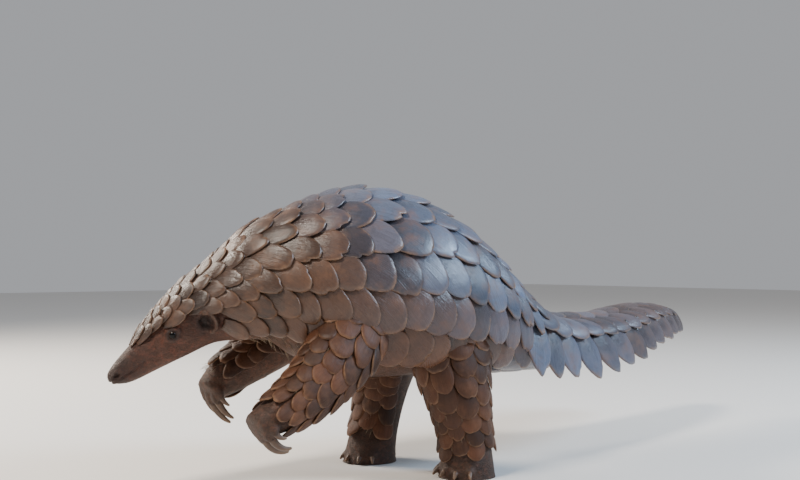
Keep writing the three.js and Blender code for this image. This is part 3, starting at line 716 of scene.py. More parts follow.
class PlateSet:
    """Gathers many horn plates into one mesh, each with its own patch of the bake map."""

    ROOT_WIDE = 0.74  # the root's width, as a share of the plate's
    CORNER = 0.40  # where the straight sides end, from root to tip
    BLUNT, POINTED = (0.62, 0.98), 1.4  # powers of the rim's curve, for round and for pointed plates
    RAGGED, WAVES = 0.026, (2, 3, 5, 8, 11)  # depth and counts of the waves in the rim
    NICK_WIDE, NICK_DEEP, NICK_CHANCE = 0.07, (0.03, 0.09), 0.5
    BEVEL, RIM_THICK = 0.10, 0.45  # where the plate starts to thin, and what is left at its rim
    KEEL = (0.35, 0, 0.16)  # height in millimetres, place and width
    LIFT_SPREAD = (0.88, 1.18)
    RIPPLE, RIPPLES = 0.10, (9, 15)
    PATCH_GAP, PATCH_WIDE, PATCH_HIGH, MAP_SPARE = 0.04, 0.42, 0.9, 1.3

    def __init__(self, columns, depth, seed, wear):
        self.columns, self.depth, self.wear = columns, depth, wear
        self.turn, self.tilt = 0.10, 0.8  # how far a plate strays, in radians and in millimetres
        self.random = np.random.default_rng(seed)
        self.points, self.values = [], []
        a = np.linspace(-1, 1, columns)
        q = 1 - (1 - np.linspace(0, 1, depth)) ** 1.35
        self.a, self.q = np.meshgrid(a, q)

    def outline(self, tip):
        """The grid's places across the plate and from its root to its ragged rim."""
        random, a, q = self.random, self.a, self.q
        angle = a * math.pi / 2
        blunt = random.uniform(*self.BLUNT)
        rim_x = np.sign(angle) * np.abs(np.sin(angle)) ** (1 + 0.5 * tip)
        rim_b = self.CORNER + (1 - self.CORNER) * np.cos(angle) ** (blunt * (1 - tip) + self.POINTED * tip)
        ragged = sum(
            random.uniform(-1, 1) * np.sin(a * f * math.pi + random.uniform(0, 6.3)) / f for f in self.WAVES
        )
        rim_b = rim_b * (1 + self.RAGGED * self.wear * ragged)
        nick = random.uniform(-0.7, 0.7)
        if random.random() < self.NICK_CHANCE * self.wear:
            rim_b = rim_b * (1 - ridge(a, (random.uniform(*self.NICK_DEEP), nick, self.NICK_WIDE)))
        return self.ROOT_WIDE * a * (1 - q) + rim_x * q, rim_b * q

    def add(self, where, thick, lift, tint, tip, dome, sink=0.8):
        """One plate. where(x, b, height) gives the place of a point across, from root to tip, and high."""
        random, a, q = self.random, self.a, self.q
        x, b = self.outline(tip)
        edge = np.minimum(rise(1 - q, self.BEVEL), rise(1 - np.abs(a), self.BEVEL))
        swell = self.RIM_THICK + (1 - self.RIM_THICK) * np.sqrt(edge)
        keel = ridge(x, self.KEEL) * (1 - q) * q * 4
        under = -sink + (lift + sink) * b**1.05
        under = under * random.uniform(*self.LIFT_SPREAD) + random.uniform(-1, 1) * self.tilt * x * b
        ripple = self.RIPPLE * np.sin(q * random.uniform(*self.RIPPLES) + random.uniform(0, 6)) * q
        vault = dome * (1 - x**2) * np.sin(np.clip(b, 0, 1) * math.pi)
        top = under + thick * swell + vault + keel + ripple
        turn = random.uniform(-1, 1) * self.turn
        x, b = x + turn * (b - 0.15) * 2.4, b - turn * x * 0.4
        luck = np.full(a.size, random.random())
        tints = np.broadcast_to(np.asarray(tint), (a.size, 3))
        for height in (top, under + 0.25 * (1 - swell)):
            self.points.append(where(x, b, height).reshape(-1, 3))
            self.values.append(np.column_stack([a.ravel(), q.ravel(), luck, tints]))

    def build(self, name):
        count = self.columns * self.depth
        plates = len(self.points) // 2
        grid = np.arange(count).reshape(self.depth, self.columns)
        quads = np.stack([grid[:-1, :-1], grid[:-1, 1:], grid[1:, 1:], grid[1:, :-1]], -1).reshape(-1, 4)
        loop = np.concatenate([grid[0, :], grid[1:, -1], grid[-1, -2::-1], grid[-2:0:-1, 0]])
        after = np.roll(loop, -1)
        rim = np.stack([loop, loop + count, after + count, after], -1)
        one = np.concatenate([quads, quads[:, ::-1] + count, rim])
        faces = (one[None] + (np.arange(plates) * 2 * count)[:, None, None]).reshape(-1, 4)
        values = np.concatenate(self.values)
        attributes = {
            "across": values[:, 0], "reach": values[:, 1], "luck": values[:, 2] * 10, "tint": values[:, 3:6],
        }
        return make_mesh(name, np.concatenate(self.points), faces.tolist(), attributes, self.patches(plates))

    def patches(self, plates):
        """Each point's place in the bake map, where a plate's upper and lower faces lie side by side."""
        side = math.ceil(math.sqrt(plates * self.MAP_SPARE))
        spots = []
        for i in range(plates):
            left, low = (i % side) / side, (i // side) / side
            for face in (0, 1):
                u = left + (self.PATCH_GAP + self.PATCH_WIDE * (self.a + 1) / 2 + 0.5 * face) / side
                v = low + (self.PATCH_GAP + self.PATCH_HIGH * self.q) / side
                spots.append(np.stack([u, v], -1).reshape(-1, 2))
        return np.concatenate(spots)


def on_limb(limb, t, phi, long, wide, turn=0.0, about=None):
    """Lays a plate on a limb, with its tip at t and phi, turned from the limb's line away from its ridge.

    The limb's scale is taken at the angle about, or else at the tip's own.
    """
    lengthwise, crosswise = limb.scale(max(t - 0.1, 0.02), phi if about is None else about)
    turn = turn * np.sign(phi)
    cos, sin = math.cos(turn), math.sin(turn)

    def where(x, b, height):
        ahead = (b - 1) * long * cos - x * wide / 2 * sin
        round_ = (b - 1) * long * sin + x * wide / 2 * cos
        return limb.point(t + ahead / lengthwise, phi + round_ / crosswise, height)

    return where


def turn_at(t, phi):
    """How far a plate of the body points down the flank, in radians."""
    side = np.clip(abs(phi) / math.radians(TURN_FULL), 0, 1)
    return math.radians(np.interp(t, *TURN)) * side**0.8


# Where the horn's colour changes, in the tables' millimetres, each with the width of the change
RUMP_BACK, FLANK_LOW, SLATE_FRONT, DUST_HIGH = (150, 60), (150, 55), (-75, 110), (178, 65)
TAIL_SLATE = (220, 480), (0.9, 0.3)  # the share of slate, partly a painted reflection of the sky, from the tail's base to its tip
HEAD_PAINTED_SHADE = (-200, -110), (0.72, 1)  # painted shade: the head's plates are darker
DUST_SHARE, DUST_LESS = 0.85, 0.6  # how dusty the low plates are, and how much less so on the tail
TINT_SPREAD, WARMTH = (0.55, 1.4), 0.05  # how much the plates' brightness and hue differ


def body_tint(choice, point, random):
    """The horn's colour: warm in front, slate blue-grey on the back, top and rump, partly a painted
    reflection of the sky, dusty brown low on the flanks.
    """
    colours = choice.front_colour, choice.back_colour_and_painted_sky, choice.low_colour
    front, back, low = (np.array(colour[:]) for colour in colours)
    x, _, z = point
    rear = max(x, 0)
    tail = rise(x - RUMP_BACK[0], RUMP_BACK[1])
    # painted reflection: the slate blue is partly the sky's reflection, so it is kept to the upper side and
    # reaches further forward on top
    upper = rise(z - FLANK_LOW[0] + 0.3 * rear, FLANK_LOW[1])
    slate = rise(x - SLATE_FRONT[0] + max(z - 200, 0) * 0.5, SLATE_FRONT[1]) * upper * (1 - tail)
    slate += tail * np.interp(x, *TAIL_SLATE)
    # painted shade darkens the plates of the head
    colour = blend(front, back, slate) * np.interp(x, *HEAD_PAINTED_SHADE)
    dusty = rise(DUST_HIGH[0] - 0.25 * rear - z, DUST_HIGH[1]) * (DUST_SHARE - DUST_LESS * tail)
    warm = random.uniform(-WARMTH, WARMTH)
    bright = random.uniform(*TINT_SPREAD)
    return np.clip(blend(colour, low, dusty) * bright * np.array([1 + warm, 1, 1 - warm]), 0, 1)


def lattice(rows, steps, stray, random):
    """Each plate's row, counted from the ridge, the t and the angle of its tip, and its pitch."""
    spacing = 2 * math.pi / rows
    for m in range(1, len(steps) - 1):
        half = (steps[m + 1] - steps[m - 1]) / 2
        for j in range(m % 2, rows, 2):
            row = j - rows if j > rows / 2 else j
            t = steps[m] + half * stray * random.uniform(-1, 1)
            phi = row * spacing + spacing * stray * ROW_STRAY * random.uniform(-1, 1)
            yield row, t, phi, half * 2


class PANGOLIN_OT_body_plates(bpy.types.Operator):
    """Lay the overlapping plates of the head, neck and torso"""

    bl_idname = "pangolin.body_plates"
    bl_label = "Body Plates"

    def execute(self, context):
        choice = settings(context)
        random = np.random.default_rng(21)
        steps = half_steps(trunk, 0, BODY_LAST, pitch_at)
        spacing = 2 * math.pi / BODY_ROWS
        groups = {
            name: (PlateSet(across, depth, seed, choice.plate_wear), end)
            for name, (across, depth, seed, end) in BODY_GROUPS.items()
        }
        groups["plates_head"][0].turn = HEAD_TURN
        for row, t, phi, pitch in lattice(BODY_ROWS, steps, BODY_STRAY, random):
            outer = abs(row) - BODY_SCUTED
            fringe = outer == 1 and FRINGE_FIRST < t < FRINGE_LAST
            if t < BODY_FIRST or not fringe and (outer > 0 or abs(phi) > reach_at(t)):
                continue
            lengthwise, crosswise = trunk.scale(t, phi)
            turn = turn_at(t, phi)
            stretch = TURN_STRETCH * math.sin(turn)
            long = pitch * lengthwise * BODY_LONG * (1 + stretch) * random.uniform(0.95, 1.06)
            wide = spacing * crosswise * BODY_WIDE * (1 - stretch) * random.uniform(0.94, 1.06)
            laid = self.clear_of_ears(t, phi, long, wide, turn)
            if laid is None:
                continue
            scale = plate_scale(t, BODY_LEAST)
            thick = choice.plate_thickness / MM * scale
            lift = choice.plate_lift / MM * scale * (OUTER_LIFT if outer >= 0 else 1.0)
            tint = body_tint(choice, trunk.point(t, phi), random)
            plates = next(group for group, end in groups.values() if t < end)
            plates.add(laid, thick, lift, tint, tip=0.15, dome=BODY_DOME * scale)
        horn = plate_horn(choice)
        for name, (plates, _) in groups.items():
            finish_piece(plates.build(name), horn)
        return {"FINISHED"}

    def clear_of_ears(self, t, phi, long, wide, turn):
        """Lays a plate, shortened where it would reach an ear. Gives None where there is no room at all."""
        for share in SHORTENED:
            laid = on_limb(trunk, t, phi, long * share, wide, turn)
            middle = laid(np.zeros(4), np.linspace(0, 1, 4), 0.0)
            if all(np.linalg.norm(middle - ear, axis=1).min() > EAR_RADIUS + 1 for ear in EAR_POINTS):
                return laid
        return None


class PANGOLIN_OT_tail_plates(bpy.types.Operator):
    """Lay the broad plates of the tail and the pointed ones along its edges"""

    bl_idname = "pangolin.tail_plates"
    bl_label = "Tail Plates"

    def execute(self, context):
        choice = settings(context)
        horn = bpy.data.materials["plate_horn"]
        random = np.random.default_rng(33)
        upper = PlateSet(17, 11, 11, choice.plate_wear)
        lower = PlateSet(13, 9, 13, choice.plate_wear)
        steps = half_steps(trunk, TAIL_START, trunk.end, pitch_at)
        for row, t, phi, pitch in lattice(TAIL_ROWS, steps, TAIL_STRAY, random):
            if t < TAIL_FIRST or abs(row) == TAIL_EDGE_ROW:
                continue
            plates = upper if abs(row) < TAIL_EDGE_ROW else lower
            plates.add(*self.plate(choice, row, t, phi, pitch, random), tip=0.3, dome=TAIL_DOME)
        finish_piece(upper.build("plates_tail_top"), horn)
        finish_piece(lower.build("plates_tail_under"), horn)
        for name, side in SIDES.items():
            plates = PlateSet(15, 12, 17 + side, choice.plate_wear)
            plates.turn, plates.tilt = 0.05, 0.3
            t = MARGIN_FIRST
            while t < MARGIN_LAST:
                plates.add(*self.margin(choice, t, side, random), tip=0.6, dome=0.6, sink=0.0)
                t += pitch_at(t) / trunk.scale(t, math.pi / 2)[0]
            finish_piece(plates.build(f"plates_tail_edge_{name}"), horn)
        return {"FINISHED"}

    def plate(self, choice, row, t, phi, pitch, random):
        """One broad plate: those beside the ridge lie slantwise, out to the tail's edge."""
        spacing = 2 * math.pi / TAIL_ROWS
        beside = abs(row) == 1
        above = abs(row) < TAIL_EDGE_ROW
        about, turn = phi, 0.0
        if beside:
            about, turn = math.copysign(TAIL_ABOUT, phi), math.radians(TAIL_TURN)
            phi = math.copysign(TAIL_SIDE, phi) + (phi - row * spacing)
        lengthwise, crosswise = trunk.scale(t, about)
        long = pitch * lengthwise * (TAIL_SIDE_LONG if beside else TAIL_LONG) * random.uniform(0.96, 1.05)
        wide = spacing * crosswise * (TAIL_WIDE if above else TAIL_UNDER_WIDE)
        size = plate_scale(t, TAIL_LEAST)
        lift = (TAIL_LIFT if above else TAIL_UNDER_LIFT) * size
        tint = body_tint(choice, trunk.point(t, phi), random)
        laid = on_limb(trunk, t, phi, long, wide, turn, about)
        return laid, choice.plate_thickness / MM * size, lift, tint

    def margin(self, choice, t, side, random):
        """One pointed plate on the tail's edge, which hangs down at the base and trails behind at the tip."""
        row, tangent, up, across = trunk.frame(t)
        outward = -across * side
        size = min(1.0, 0.5 + row[HALF_WIDTH] / 110)
        hang = np.interp(t, *HANG)
        down = unit(outward * 0.3 - up)
        x = tangent * math.cos(hang) + down * math.sin(hang)
        z = outward + up * 0.5
        z = unit(z - x * (z @ x))
        y = np.cross(z, x)
        tuck = 1.5 if y @ tangent > 0 else -1.5
        root = row[:3] + outward * (row[HALF_WIDTH] + 0.5)
        long = MARGIN_LONG * size * random.uniform(0.95, 1.05)
        wide = MARGIN_WIDE * size * random.uniform(0.95, 1.05)

        def where(u, b, height):
            bow = 2.6 * (1 - u**2) * np.sin(np.clip(b, 0, 1) * math.pi) - 2.0 * b**2 + tuck * u
            forward = ((b - MARGIN_ROOT) * long)[..., None] * x
            return root + forward + (u * wide / 2)[..., None] * y + (height + bow - 1)[..., None] * z

        return where, MARGIN_THICK * size, MARGIN_LIFT, body_tint(choice, root, random)


class PANGOLIN_OT_leg_plates(bpy.types.Operator):
    """Lay the small plates on the front and outer side of the legs"""

    bl_idname = "pangolin.leg_plates"
    bl_label = "Leg Plates"

    def execute(self, context):
        choice = settings(context)
        horn = plate_horn(choice, "leg_horn", LEG_DULL)
        random = np.random.default_rng(45)
        spacing = 2 * math.pi / LEG_ROWS
        inner, outer = LEG_BARE
        for name, limb in legs.items():
            first, last = LEG_SPAN[name[:4]]
            side = SIDES[name.split("_")[1]]
            plates = PlateSet(15, 9, 23, choice.plate_wear)
            plates.turn = LEG_TURN
            steps = half_steps(limb, 0, limb.end, lambda t: LEG_PITCH)
            for row, t, phi, pitch in lattice(LEG_ROWS, steps, LEG_STRAY, random):
                if not (first < t < last and inner < row * side < outer):
                    continue
                lengthwise, crosswise = limb.scale(t, phi)
                tint = np.array(choice.low_colour[:]) * random.uniform(0.3, 0.95)
                wide = spacing * crosswise * random.uniform(*LEG_WIDE)
                laid = on_limb(limb, t, phi, pitch * lengthwise * LEG_LONG, wide)
                plates.add(laid, LEG_THICK, LEG_LIFT, tint, tip=0.1, dome=LEG_DOME)
            finish_piece(plates.build(f"plates_{name}"), horn)
        return {"FINISHED"}


def read_vectors(items, key):
    """One row of three numbers for each item of a mesh."""
    values = np.zeros(len(items) * 3)
    items.foreach_get(key, values)
    return values.reshape(-1, 3)


# The face's relief in millimetres, as ridges and grooves: height, the distance where each runs, width
EYE_OPENING, LID_RIM, LID_FOLD = (-3.6, 0, 3.0), (0.7, 5.2, 1.3), (-0.7, 8.6, 1.2)
NOSTRIL_PIT, NOSTRIL_WING = (-3.4, 0, 1.0), (0.8, 3.0, 1.0)
MOUTH_GROOVE, LIP = (-1.3, 0, 0.9), (0.4, 2.2, 1.1)
LID_SIZE = (9, 6.5, 4.2)
EYE_LONG, NOSTRIL_LONG = 1.3, 1.6  # how much longer than high the eye's opening and the nostril are
NOSTRIL_SIZE = (2.6, 1.5)
EAR_HOLLOW_DEEP, EAR_HOLLOW_SIZE, EAR_HOLLOW_AHEAD = -3.6, (4.5, 5.5), 2
EAR_STEPS, EAR_GAP, EAR_TALL, EAR_WIDE = 11, 0.9, 5.0, 2.5  # the ridge's parts, gap in radians, height, width
TRUNK_SHRINK, LEG_SHRINK = 0.8, 0.6  # how far the skin lies below the tables' surface
SOLE_HIGH = 0.0003
# Painted shade in the hollows round the eyes, nostrils and ears: radius in millimetres and how dark
EYE_SHADE, NOSTRIL_SHADE, EAR_SHADE, EAR_SURROUND = (8.0, 0.75), (2.6, 0.88), (8.0, 0.75), (19.0, 0.45)
RIM_RADIUS, RIM_SHARE = 3.2, 0.8
MUZZLE_BACK, MUZZLE_FADE, MUZZLE_DARK = -236, 30, 0.62
LEG_HIGH, LEG_FADE, LEGS_FROM, LEGS_TO = 118, 25, -215, 150  # where the skin has the legs' colour
FACE_FADE, FLANK_SHARE = 30, 0.75


class PANGOLIN_OT_skin(bpy.types.Operator):
    """Model the one skin of head, body, legs and tail, with lids, ears, nostrils and mouth"""

    bl_idname = "pangolin.skin"
    bl_label = "Skin"

    def execute(self, context):
        choice = settings(context)
        shapes = [limb_shape(trunk, around=72, lengthwise=220, grow=-TRUNK_SHRINK)]
        for limb in legs.values():
            shapes.append(limb_shape(limb, around=40, lengthwise=60, grow=-LEG_SHRINK))
        for side in SIDES.values():
            shapes += [self.ear(side), self.lids(side)]
        row, tangent, up, _ = trunk.frame(NOSE_T)
        shapes.append(ellipsoid(row[:3], tangent, up, NOSE_SIZE))
        for name in sorted(legs):
            long = FORE_KNUCKLE if name.startswith("fore") else HIND_KNUCKLE
            shapes += [self.knuckle(claw, long) for claw in claws_of(name)]
        piece = make_mesh("skin", *joined(shapes))
        remesh = piece.modifiers.new("one_skin", "REMESH")
        remesh.mode = "VOXEL"
        remesh.voxel_size = choice.skin_detail
        smooth = piece.modifiers.new("even", "SMOOTH")
        smooth.factor = 0.5
        smooth.iterations = 2
        made = bpy.data.meshes.new_from_object(piece.evaluated_get(context.evaluated_depsgraph_get()))
        piece.modifiers.clear()
        piece.data = made
        self.flatten_soles(made)
        self.refine_head(made)
        self.shape_face(made)
        self.paint(choice, made)
        made.polygons.foreach_set("use_smooth", np.ones(len(made.polygons), bool))
        finish_piece(piece, flesh(), FLESH_NODES)
        return {"FINISHED"}

    def ear_rows(self, side):
        """Sections along the ridge of one ear, which is open to the front."""
        point, tailward, vertical, outward = on_head(EAR, side)
        rows = []
        for i in range(EAR_STEPS + 1):
            angle = (-1 + 2 * i / EAR_STEPS) * (math.pi - EAR_GAP)
            fade = 0.55 + 0.45 * math.sin(i / EAR_STEPS * math.pi)
            at = point + tailward * EAR_RADIUS * (0.7 * math.cos(angle) + 0.1)
            at = at + vertical * EAR_RADIUS * 1.08 * math.sin(angle) + outward * 1.2
            rows.append([*at, EAR_TALL * fade, EAR_TALL * fade, EAR_WIDE * fade])
        return rows

    def ear(self, side):
        return limb_shape(Limb(self.ear_rows(side), on_head(EAR, side)[3]), around=16, lengthwise=40)

    def lids(self, side):
        point, tailward, vertical, outward = on_head(EYE, side)
        return ellipsoid(point - outward, tailward, vertical, LID_SIZE)

    def knuckle(self, claw, long):
        """The fleshy root of one claw."""
        row, tangent, up, _ = claw.frame(KNUCKLE_AT)
        width = claw.rows[0][HALF_WIDTH]
        size = (width * long, width * KNUCKLE_WIDE, width * KNUCKLE_HIGH)
        return ellipsoid(row[:3], tangent, up, size, around=14, high=10)

    def refine_head(self, mesh):
        """Halves the faces of the head, for the lips and the lids."""
        work = bmesh.new()
        work.from_mesh(mesh)
        limit = placed([FACE_BACK, 0, 0])[0]
        edges = [e for e in work.edges if all(v.co.x < limit for v in e.verts)]
        bmesh.ops.subdivide_edges(work, edges=edges, cuts=1, use_grid_fill=True)
        work.to_mesh(mesh)
        work.free()

    def flatten_soles(self, mesh):
        co = read_vectors(mesh.vertices, "co")
        co[:, 2] = np.maximum(co[:, 2], SOLE_HIGH)
        mesh.vertices.foreach_set("co", co.ravel())

    def shape_face(self, mesh):
        """Moves the head's points for the eyes' openings, the ears, the nostrils and the mouth."""
        co = in_tables(read_vectors(mesh.vertices, "co"))
        near = np.where(co[:, 0] < HEAD_BACK)[0]
        head = co[near]
        move = np.zeros(len(co))
        for side in SIDES.values():
            move[near] += self.eye_relief(head, side)
            move[near] += self.ear_relief(head, side)
            move[near] += self.nostril_relief(head, side)
        move[near] += self.mouth_relief(head)
        normals = read_vectors(mesh.vertex_normals, "vector")
        mesh.vertices.foreach_set("co", placed(co + normals * move[:, None]).ravel())

    def distances(self, head, feature, side):
        """How far each point lies from a feature: along the head, vertically and outwards."""
        point, *directions = on_head(feature, side)
        return [(head - point) @ direction for direction in directions]

    def eye_relief(self, head, side):
        """The opening between the lids, their rims and the folds round them."""
        lengthwise, vertical, out = self.distances(head, EYE, side)
        d = np.sqrt((lengthwise / EYE_LONG) ** 2 + vertical**2)
        folds = ridge(d, LID_FOLD) * (0.4 + 0.6 * np.sin(lengthwise * 0.5 + 1) ** 2)
        return (out > -8) * (ridge(d, EYE_OPENING) + ridge(d, LID_RIM) + folds)

    def ear_relief(self, head, side):
        """The hollow within the ear's ridge."""
        lengthwise, vertical, out = self.distances(head, EAR, side)
        long, high = EAR_HOLLOW_SIZE
        hollow = spot(lengthwise + EAR_HOLLOW_AHEAD, long) * spot(vertical, high)
        return (np.abs(out) < 8) * EAR_HOLLOW_DEEP * hollow

    def nostril_relief(self, head, side):
        """The nostril's pit and the wing round it."""
        lengthwise, vertical, out = self.distances(head, NOSTRIL, side)
        long, high = NOSTRIL_SIZE
        pit = ridge(np.hypot(lengthwise / long, vertical / high), NOSTRIL_PIT)
        wing = ridge(np.hypot(lengthwise / NOSTRIL_LONG, vertical), NOSTRIL_WING)
        return (out > -5) * (pit + wing)

    def mouth_relief(self, head):
        """The groove between the lips, which runs round the muzzle and fades at its ends."""
        row, tangent, up, _ = trunk.frame(np.linspace(0.0, MOUTH_END, 40))
        lips = row[:, :3] - up * (row[:, LOWER] * MOUTH_DROP)[:, None]
        gap = head[:, None, :] - lips[None]
        closest = np.argmin(np.abs(np.einsum("ijk,jk->ij", gap, tangent)), axis=1)
        gap = gap[np.arange(len(head)), closest]
        high = np.einsum("ij,ij->i", gap, up[closest])
        past = np.einsum("ij,ij->i", gap, tangent[closest])
        fade = np.clip(1 - past / 3, 0, 1) * rise(len(row) - closest, 16)
        return fade * (ridge(high, MOUTH_GROOVE) + ridge(np.abs(high), LIP))

    def paint(self, choice, mesh):
        """The skin's colour on each point: the face, the darker legs and muzzle, painted shade in the hollows
        of eyes, nostrils and ears, the paler belly.
        """
        places = in_tables(read_vectors(mesh.vertices, "co"))
        x, _, z = places.T
        colours = choice.face_colour, choice.leg_colour, choice.belly_colour
        face, leg, belly = (np.array(colour[:]) for colour in colours)
        tint = np.tile(belly * FLANK_SHARE, (len(x), 1))
        low = rise(LEG_HIGH - z, LEG_FADE) * (x < LEGS_TO) * (x > LEGS_FROM)
        tint = blend(tint, leg, low[:, None])
        head = rise(HEAD_BACK - x, FACE_FADE) * (z > FACE_LOW + (HEAD_BACK - x) * FACE_SLOPE)
        tint = blend(tint, face, head[:, None])
        dark = 1 - MUZZLE_DARK * rise(MUZZLE_BACK - x, MUZZLE_FADE)
        # painted shade in the hollows of eyes, nostrils and ears, on top of the muzzle's darker tone
        for side in SIDES.values():
            eye, nostril = on_head(EYE, side)[0], on_head(NOSTRIL, side)[0]
            ear, tailward, _, _ = on_head(EAR, side)
            ear = ear - tailward * EAR_HOLLOW_AHEAD
            hollows = (eye, EYE_SHADE), (nostril, NOSTRIL_SHADE), (ear, EAR_SHADE), (ear, EAR_SURROUND)
            for middle, (radius, shade) in hollows:
                dark *= 1 - shade * spot(np.linalg.norm(places - middle, axis=1), radius)
        rim = RIM_SHARE * self.ear_rim(places)
        tint = blend(tint * dark[:, None], np.array(EAR_RIM), rim[:, None])
        colour = np.concatenate([tint, np.ones((len(x), 1))], axis=1).astype(np.float32)
        mesh.attributes.new("tint", "FLOAT_COLOR", "POINT").data.foreach_set("color", colour.ravel())

    def ear_rim(self, places):
        """How close each point is to the rim of an ear, from 0 to 1."""
        near = np.zeros(len(places))
        for side in SIDES.values():
            outward = on_head(EAR, side)[3]
            for row in self.ear_rows(side):
                top = np.array(row[:3]) + outward * 4
                near = np.maximum(near, spot(np.linalg.norm(places - top, axis=1), RIM_RADIUS))
        return near


class PANGOLIN_OT_eyes(bpy.types.Operator):
    """Set the two dark, wet eyes"""

    bl_idname = "pangolin.eyes"
    bl_label = "Eyes"

    def execute(self, context):
        gloss = eye_gloss()
        for name, side in SIDES.items():
            _, tailward, vertical, outward = on_head(EYE, side)
            middle = eye_centre(side)
            points, faces = ellipsoid(middle, tailward, vertical, (EYE_RADIUS,) * 3, around=32, high=20)
            off = (points - middle) / EYE_RADIUS
            reach = np.arccos(np.clip(off @ outward, -1, 1)) / math.pi * 2
            piece = make_mesh(f"eyeball_{name}", points, faces, {"reach": reach})
            finish_piece(piece, gloss, (f"eye_{name}",))
        return {"FINISHED"}


class PANGOLIN_OT_claws(bpy.types.Operator):
    """Shape the long digging claws of the forefeet and the short nails of the hind feet"""

    bl_idname = "pangolin.claws"
    bl_label = "Claws"

    def execute(self, context):
        horn = claw_horn(settings(context))
        reach = np.repeat(np.linspace(0, 1, CLAW_RINGS), CLAW_AROUND)
        across = np.tile(np.linspace(-1, 1, CLAW_AROUND), CLAW_RINGS)
        for name in legs:
            claws = claws_of(name)
            points, faces = joined([limb_shape(claw, CLAW_AROUND, CLAW_RINGS, CLAW_GROW) for claw in claws])
            values = {
                "reach": np.tile([*reach, 0, 1], len(claws)),
                "across": np.tile([*across, 0, 0], len(claws)),
            }
            foot = name.replace("leg", "foot")
            finish_piece(make_mesh(f"claws_{foot}", points, faces, values), horn)
        return {"FINISHED"}


LEG_BRISTLES, THROAT_BRISTLES = 60, 70  # on each leg, and on each side of the throat
BRISTLE_LONG, BRISTLE_DROOP = (6, 13), 0.1
BRISTLE_RINGS = (-0.1, 0.28), (0.5, 0.2)  # share of the length, and half thickness in millimetres
BRISTLE_PATCH = 0.003  # side of a bristle's patch in the bake map


class PANGOLIN_OT_bristles(bpy.types.Operator):
    """Set the sparse pale bristles of the legs and throat"""

    bl_idname = "pangolin.bristles"
    bl_label = "Bristles"

    def execute(self, context):
        random = np.random.default_rng(57)
        shapes, spots = [], []
        for limb, (first, last), (low, high), count in self.strips():
            strip = [trunk, *legs.values()].index(limb)
            for _ in range(count):
                t, phi = random.uniform(first, last), random.uniform(low, high)
                spots.append(((strip + t / limb.end) / (len(legs) + 1), 0.5 + phi / (2 * math.pi)))
                point, lengthwise, crosswise, outward = limb.surface(t, phi)
                lean = lengthwise * random.uniform(0.7, 1.2) + crosswise * random.uniform(-0.4, 0.4)
                lean = unit(lean + outward * random.uniform(0.3, 0.7))
                shapes.append(self.bristle(point, lean, random.uniform(*BRISTLE_LONG)))
        points, faces = joined(shapes)
        corners = np.array([(-1, -1), (1, -1), (0, -1), (-1, 0), (1, 0), (0, 0), (0, 1)]) * BRISTLE_PATCH / 2
        patches = (np.array(spots)[:, None, :] + corners[None]).reshape(-1, 2)
        hair = Nodes("bristle").surface(BRISTLE_COLOUR, 0.6, None, specular=0.3)
        finish_piece(make_mesh("bristles", points, faces, bake_map=patches), hair)
        return {"FINISHED"}

    def strips(self):
        """Where bristles grow: the limb, the ranges of t and of the angle, and how many there are."""
        for name, limb in legs.items():
            last = 3.5 if name.startswith("hind") else 3.3
            yield limb, (0.9, last), (-1.0, 1.0), LEG_BRISTLES
        for side in SIDES.values():
            yield trunk, (5.0, 7.4), sorted((-side * 2.2, -side * 2.9)), THROAT_BRISTLES

    def bristle(self, root, lean, long):
        """One bristle: a thin three-sided spike which droops a little."""
        side = unit(np.cross(lean, UPWARD + 0.01))
        over = np.cross(side, lean)
        points = []
        for share, half in BRISTLE_RINGS:
            middle = root + lean * long * share - UPWARD * long * BRISTLE_DROOP * share**2
            for k in range(3):
                angle = k * 2 * math.pi / 3
                points.append(middle + (side * math.cos(angle) + over * math.sin(angle)) * half)
        points.append(root + lean * long - UPWARD * long * BRISTLE_DROOP)
        faces = [(0, 1, 4, 3), (1, 2, 5, 4), (2, 0, 3, 5), (3, 4, 6), (4, 5, 6), (5, 3, 6), (2, 1, 0)]
        return np.array(points), faces


# The lights: place and size in metres, power in watts and colour
LIGHTS = {
    "key": ((-1.5, -0.35, 2.0), 0.5, 58, (1.0, 0.91, 0.80)),
    "sky": ((1.45, -1.35, 1.45), 0.9, 72, (0.56, 0.76, 1.0)),
    "back": ((-0.9, 1.7, 1.3), 0.8, 70, (1.0, 0.90, 0.78)),
}
LIT_POINT = (0, 0, 0.15)
SURROUND, SURROUND_STRENGTH = (0.93, 0.95, 1.0, 1), 0.42
# The photo's view: degrees forward of the left side, height and distance in millimetres, and in pixels
# the focal length, the picture's size, the horizon's row and the column that the camera faces
VIEW_TURN, VIEW_HIGH, VIEW_FAR = 36, 230, 1150
FOCAL, PICTURE_WIDE, PICTURE_HIGH, HORIZON, MIDDLE = 1058, 800, 480, 262, 370


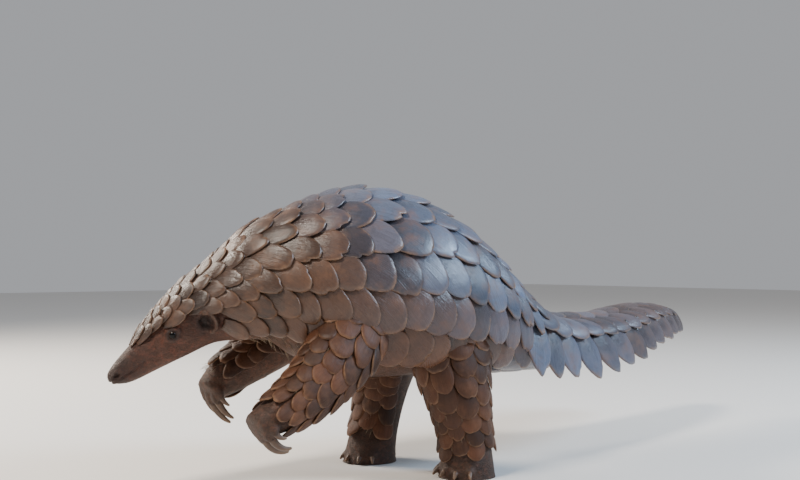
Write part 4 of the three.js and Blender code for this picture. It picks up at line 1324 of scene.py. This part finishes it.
class PANGOLIN_OT_stage(bpy.types.Operator):
    """Set the floor, the soft lights and the camera at the photo's viewing angle"""

    bl_idname = "pangolin.stage"
    bl_label = "Stage"

    def execute(self, context):
        scene = context.scene
        half = settings(context).floor_size / 2
        corners = [(-half, -half, 0), (half, -half, 0), (half, half, 0), (-half, half, 0)]
        mesh = bpy.data.meshes.new("floor")
        mesh.from_pydata(corners, [], [(0, 1, 2, 3)])
        mesh.materials.append(Nodes("studio_floor").surface(FLOOR_COLOUR, 0.85, None, specular=0.2))
        floor = bpy.data.objects.new("floor", mesh)
        scene.collection.objects.link(floor)
        world = bpy.data.worlds.new("studio")
        world.use_nodes = True
        background = world.node_tree.nodes["Background"]
        background.inputs["Color"].default_value = SURROUND
        background.inputs["Strength"].default_value = SURROUND_STRENGTH
        scene.world = world
        for name, (place, size, power, colour) in LIGHTS.items():
            self.light(scene, name, place, size, power, colour)
        self.camera(scene)
        return {"FINISHED"}

    def light(self, scene, name, place, size, power, colour):
        lamp = bpy.data.lights.new(name, "AREA")
        lamp.size = size
        lamp.energy = power
        lamp.color = colour
        item = bpy.data.objects.new(name, lamp)
        item.location = place
        item.rotation_euler = (Vector(LIT_POINT) - Vector(place)).to_track_quat("-Z", "Y").to_euler()
        scene.collection.objects.link(item)

    def camera(self, scene):
        turn = math.radians(VIEW_TURN)
        back = np.array([-math.sin(turn), -math.cos(turn), 0])
        lens = bpy.data.cameras.new("camera")
        lens.sensor_width = 36
        lens.lens = FOCAL * lens.sensor_width / PICTURE_WIDE
        lens.shift_x = (PICTURE_WIDE / 2 - MIDDLE) / PICTURE_WIDE
        item = bpy.data.objects.new("camera", lens)
        item.location = placed(UPWARD * VIEW_HIGH + back * VIEW_FAR)
        pitch = math.atan((HORIZON - PICTURE_HIGH / 2) / FOCAL)
        look = -back * math.cos(pitch) + UPWARD * math.sin(pitch)
        item.rotation_euler = Vector(look).to_track_quat("-Z", "Y").to_euler()
        scene.collection.objects.link(item)
        scene.camera = item


class PANGOLIN_PT_panel(bpy.types.Panel):
    """Lists the pangolin's pieces"""

    bl_idname = "PANGOLIN_PT_panel"
    bl_label = "Ground Pangolin"
    bl_space_type = "VIEW_3D"
    bl_region_type = "UI"
    bl_category = "Pangolin"

    def draw(self, context):
        for operator in OPERATORS:
            self.layout.operator(operator.bl_idname)
        for name in PangolinSettings.__annotations__:
            self.layout.prop(settings(context), name)


OPERATORS = (
    PANGOLIN_OT_stage,
    PANGOLIN_OT_body_plates,
    PANGOLIN_OT_tail_plates,
    PANGOLIN_OT_leg_plates,
    PANGOLIN_OT_skin,
    PANGOLIN_OT_eyes,
    PANGOLIN_OT_claws,
    PANGOLIN_OT_bristles,
)
CLASSES = (PangolinSettings, *OPERATORS, PANGOLIN_PT_panel)


def register():
    for item in CLASSES:
        bpy.utils.register_class(item)
    bpy.types.Scene.pangolin = bpy.props.PointerProperty(type=PangolinSettings)


def unregister():
    del bpy.types.Scene.pangolin
    for item in reversed(CLASSES):
        bpy.utils.unregister_class(item)


def main():
    register()
    bpy.ops.pangolin.stage()
    bpy.ops.pangolin.body_plates()
    bpy.ops.pangolin.tail_plates()
    bpy.ops.pangolin.leg_plates()
    bpy.ops.pangolin.skin()
    bpy.ops.pangolin.eyes()
    bpy.ops.pangolin.claws()
    bpy.ops.pangolin.bristles()


if __name__ == "__main__":
    main()
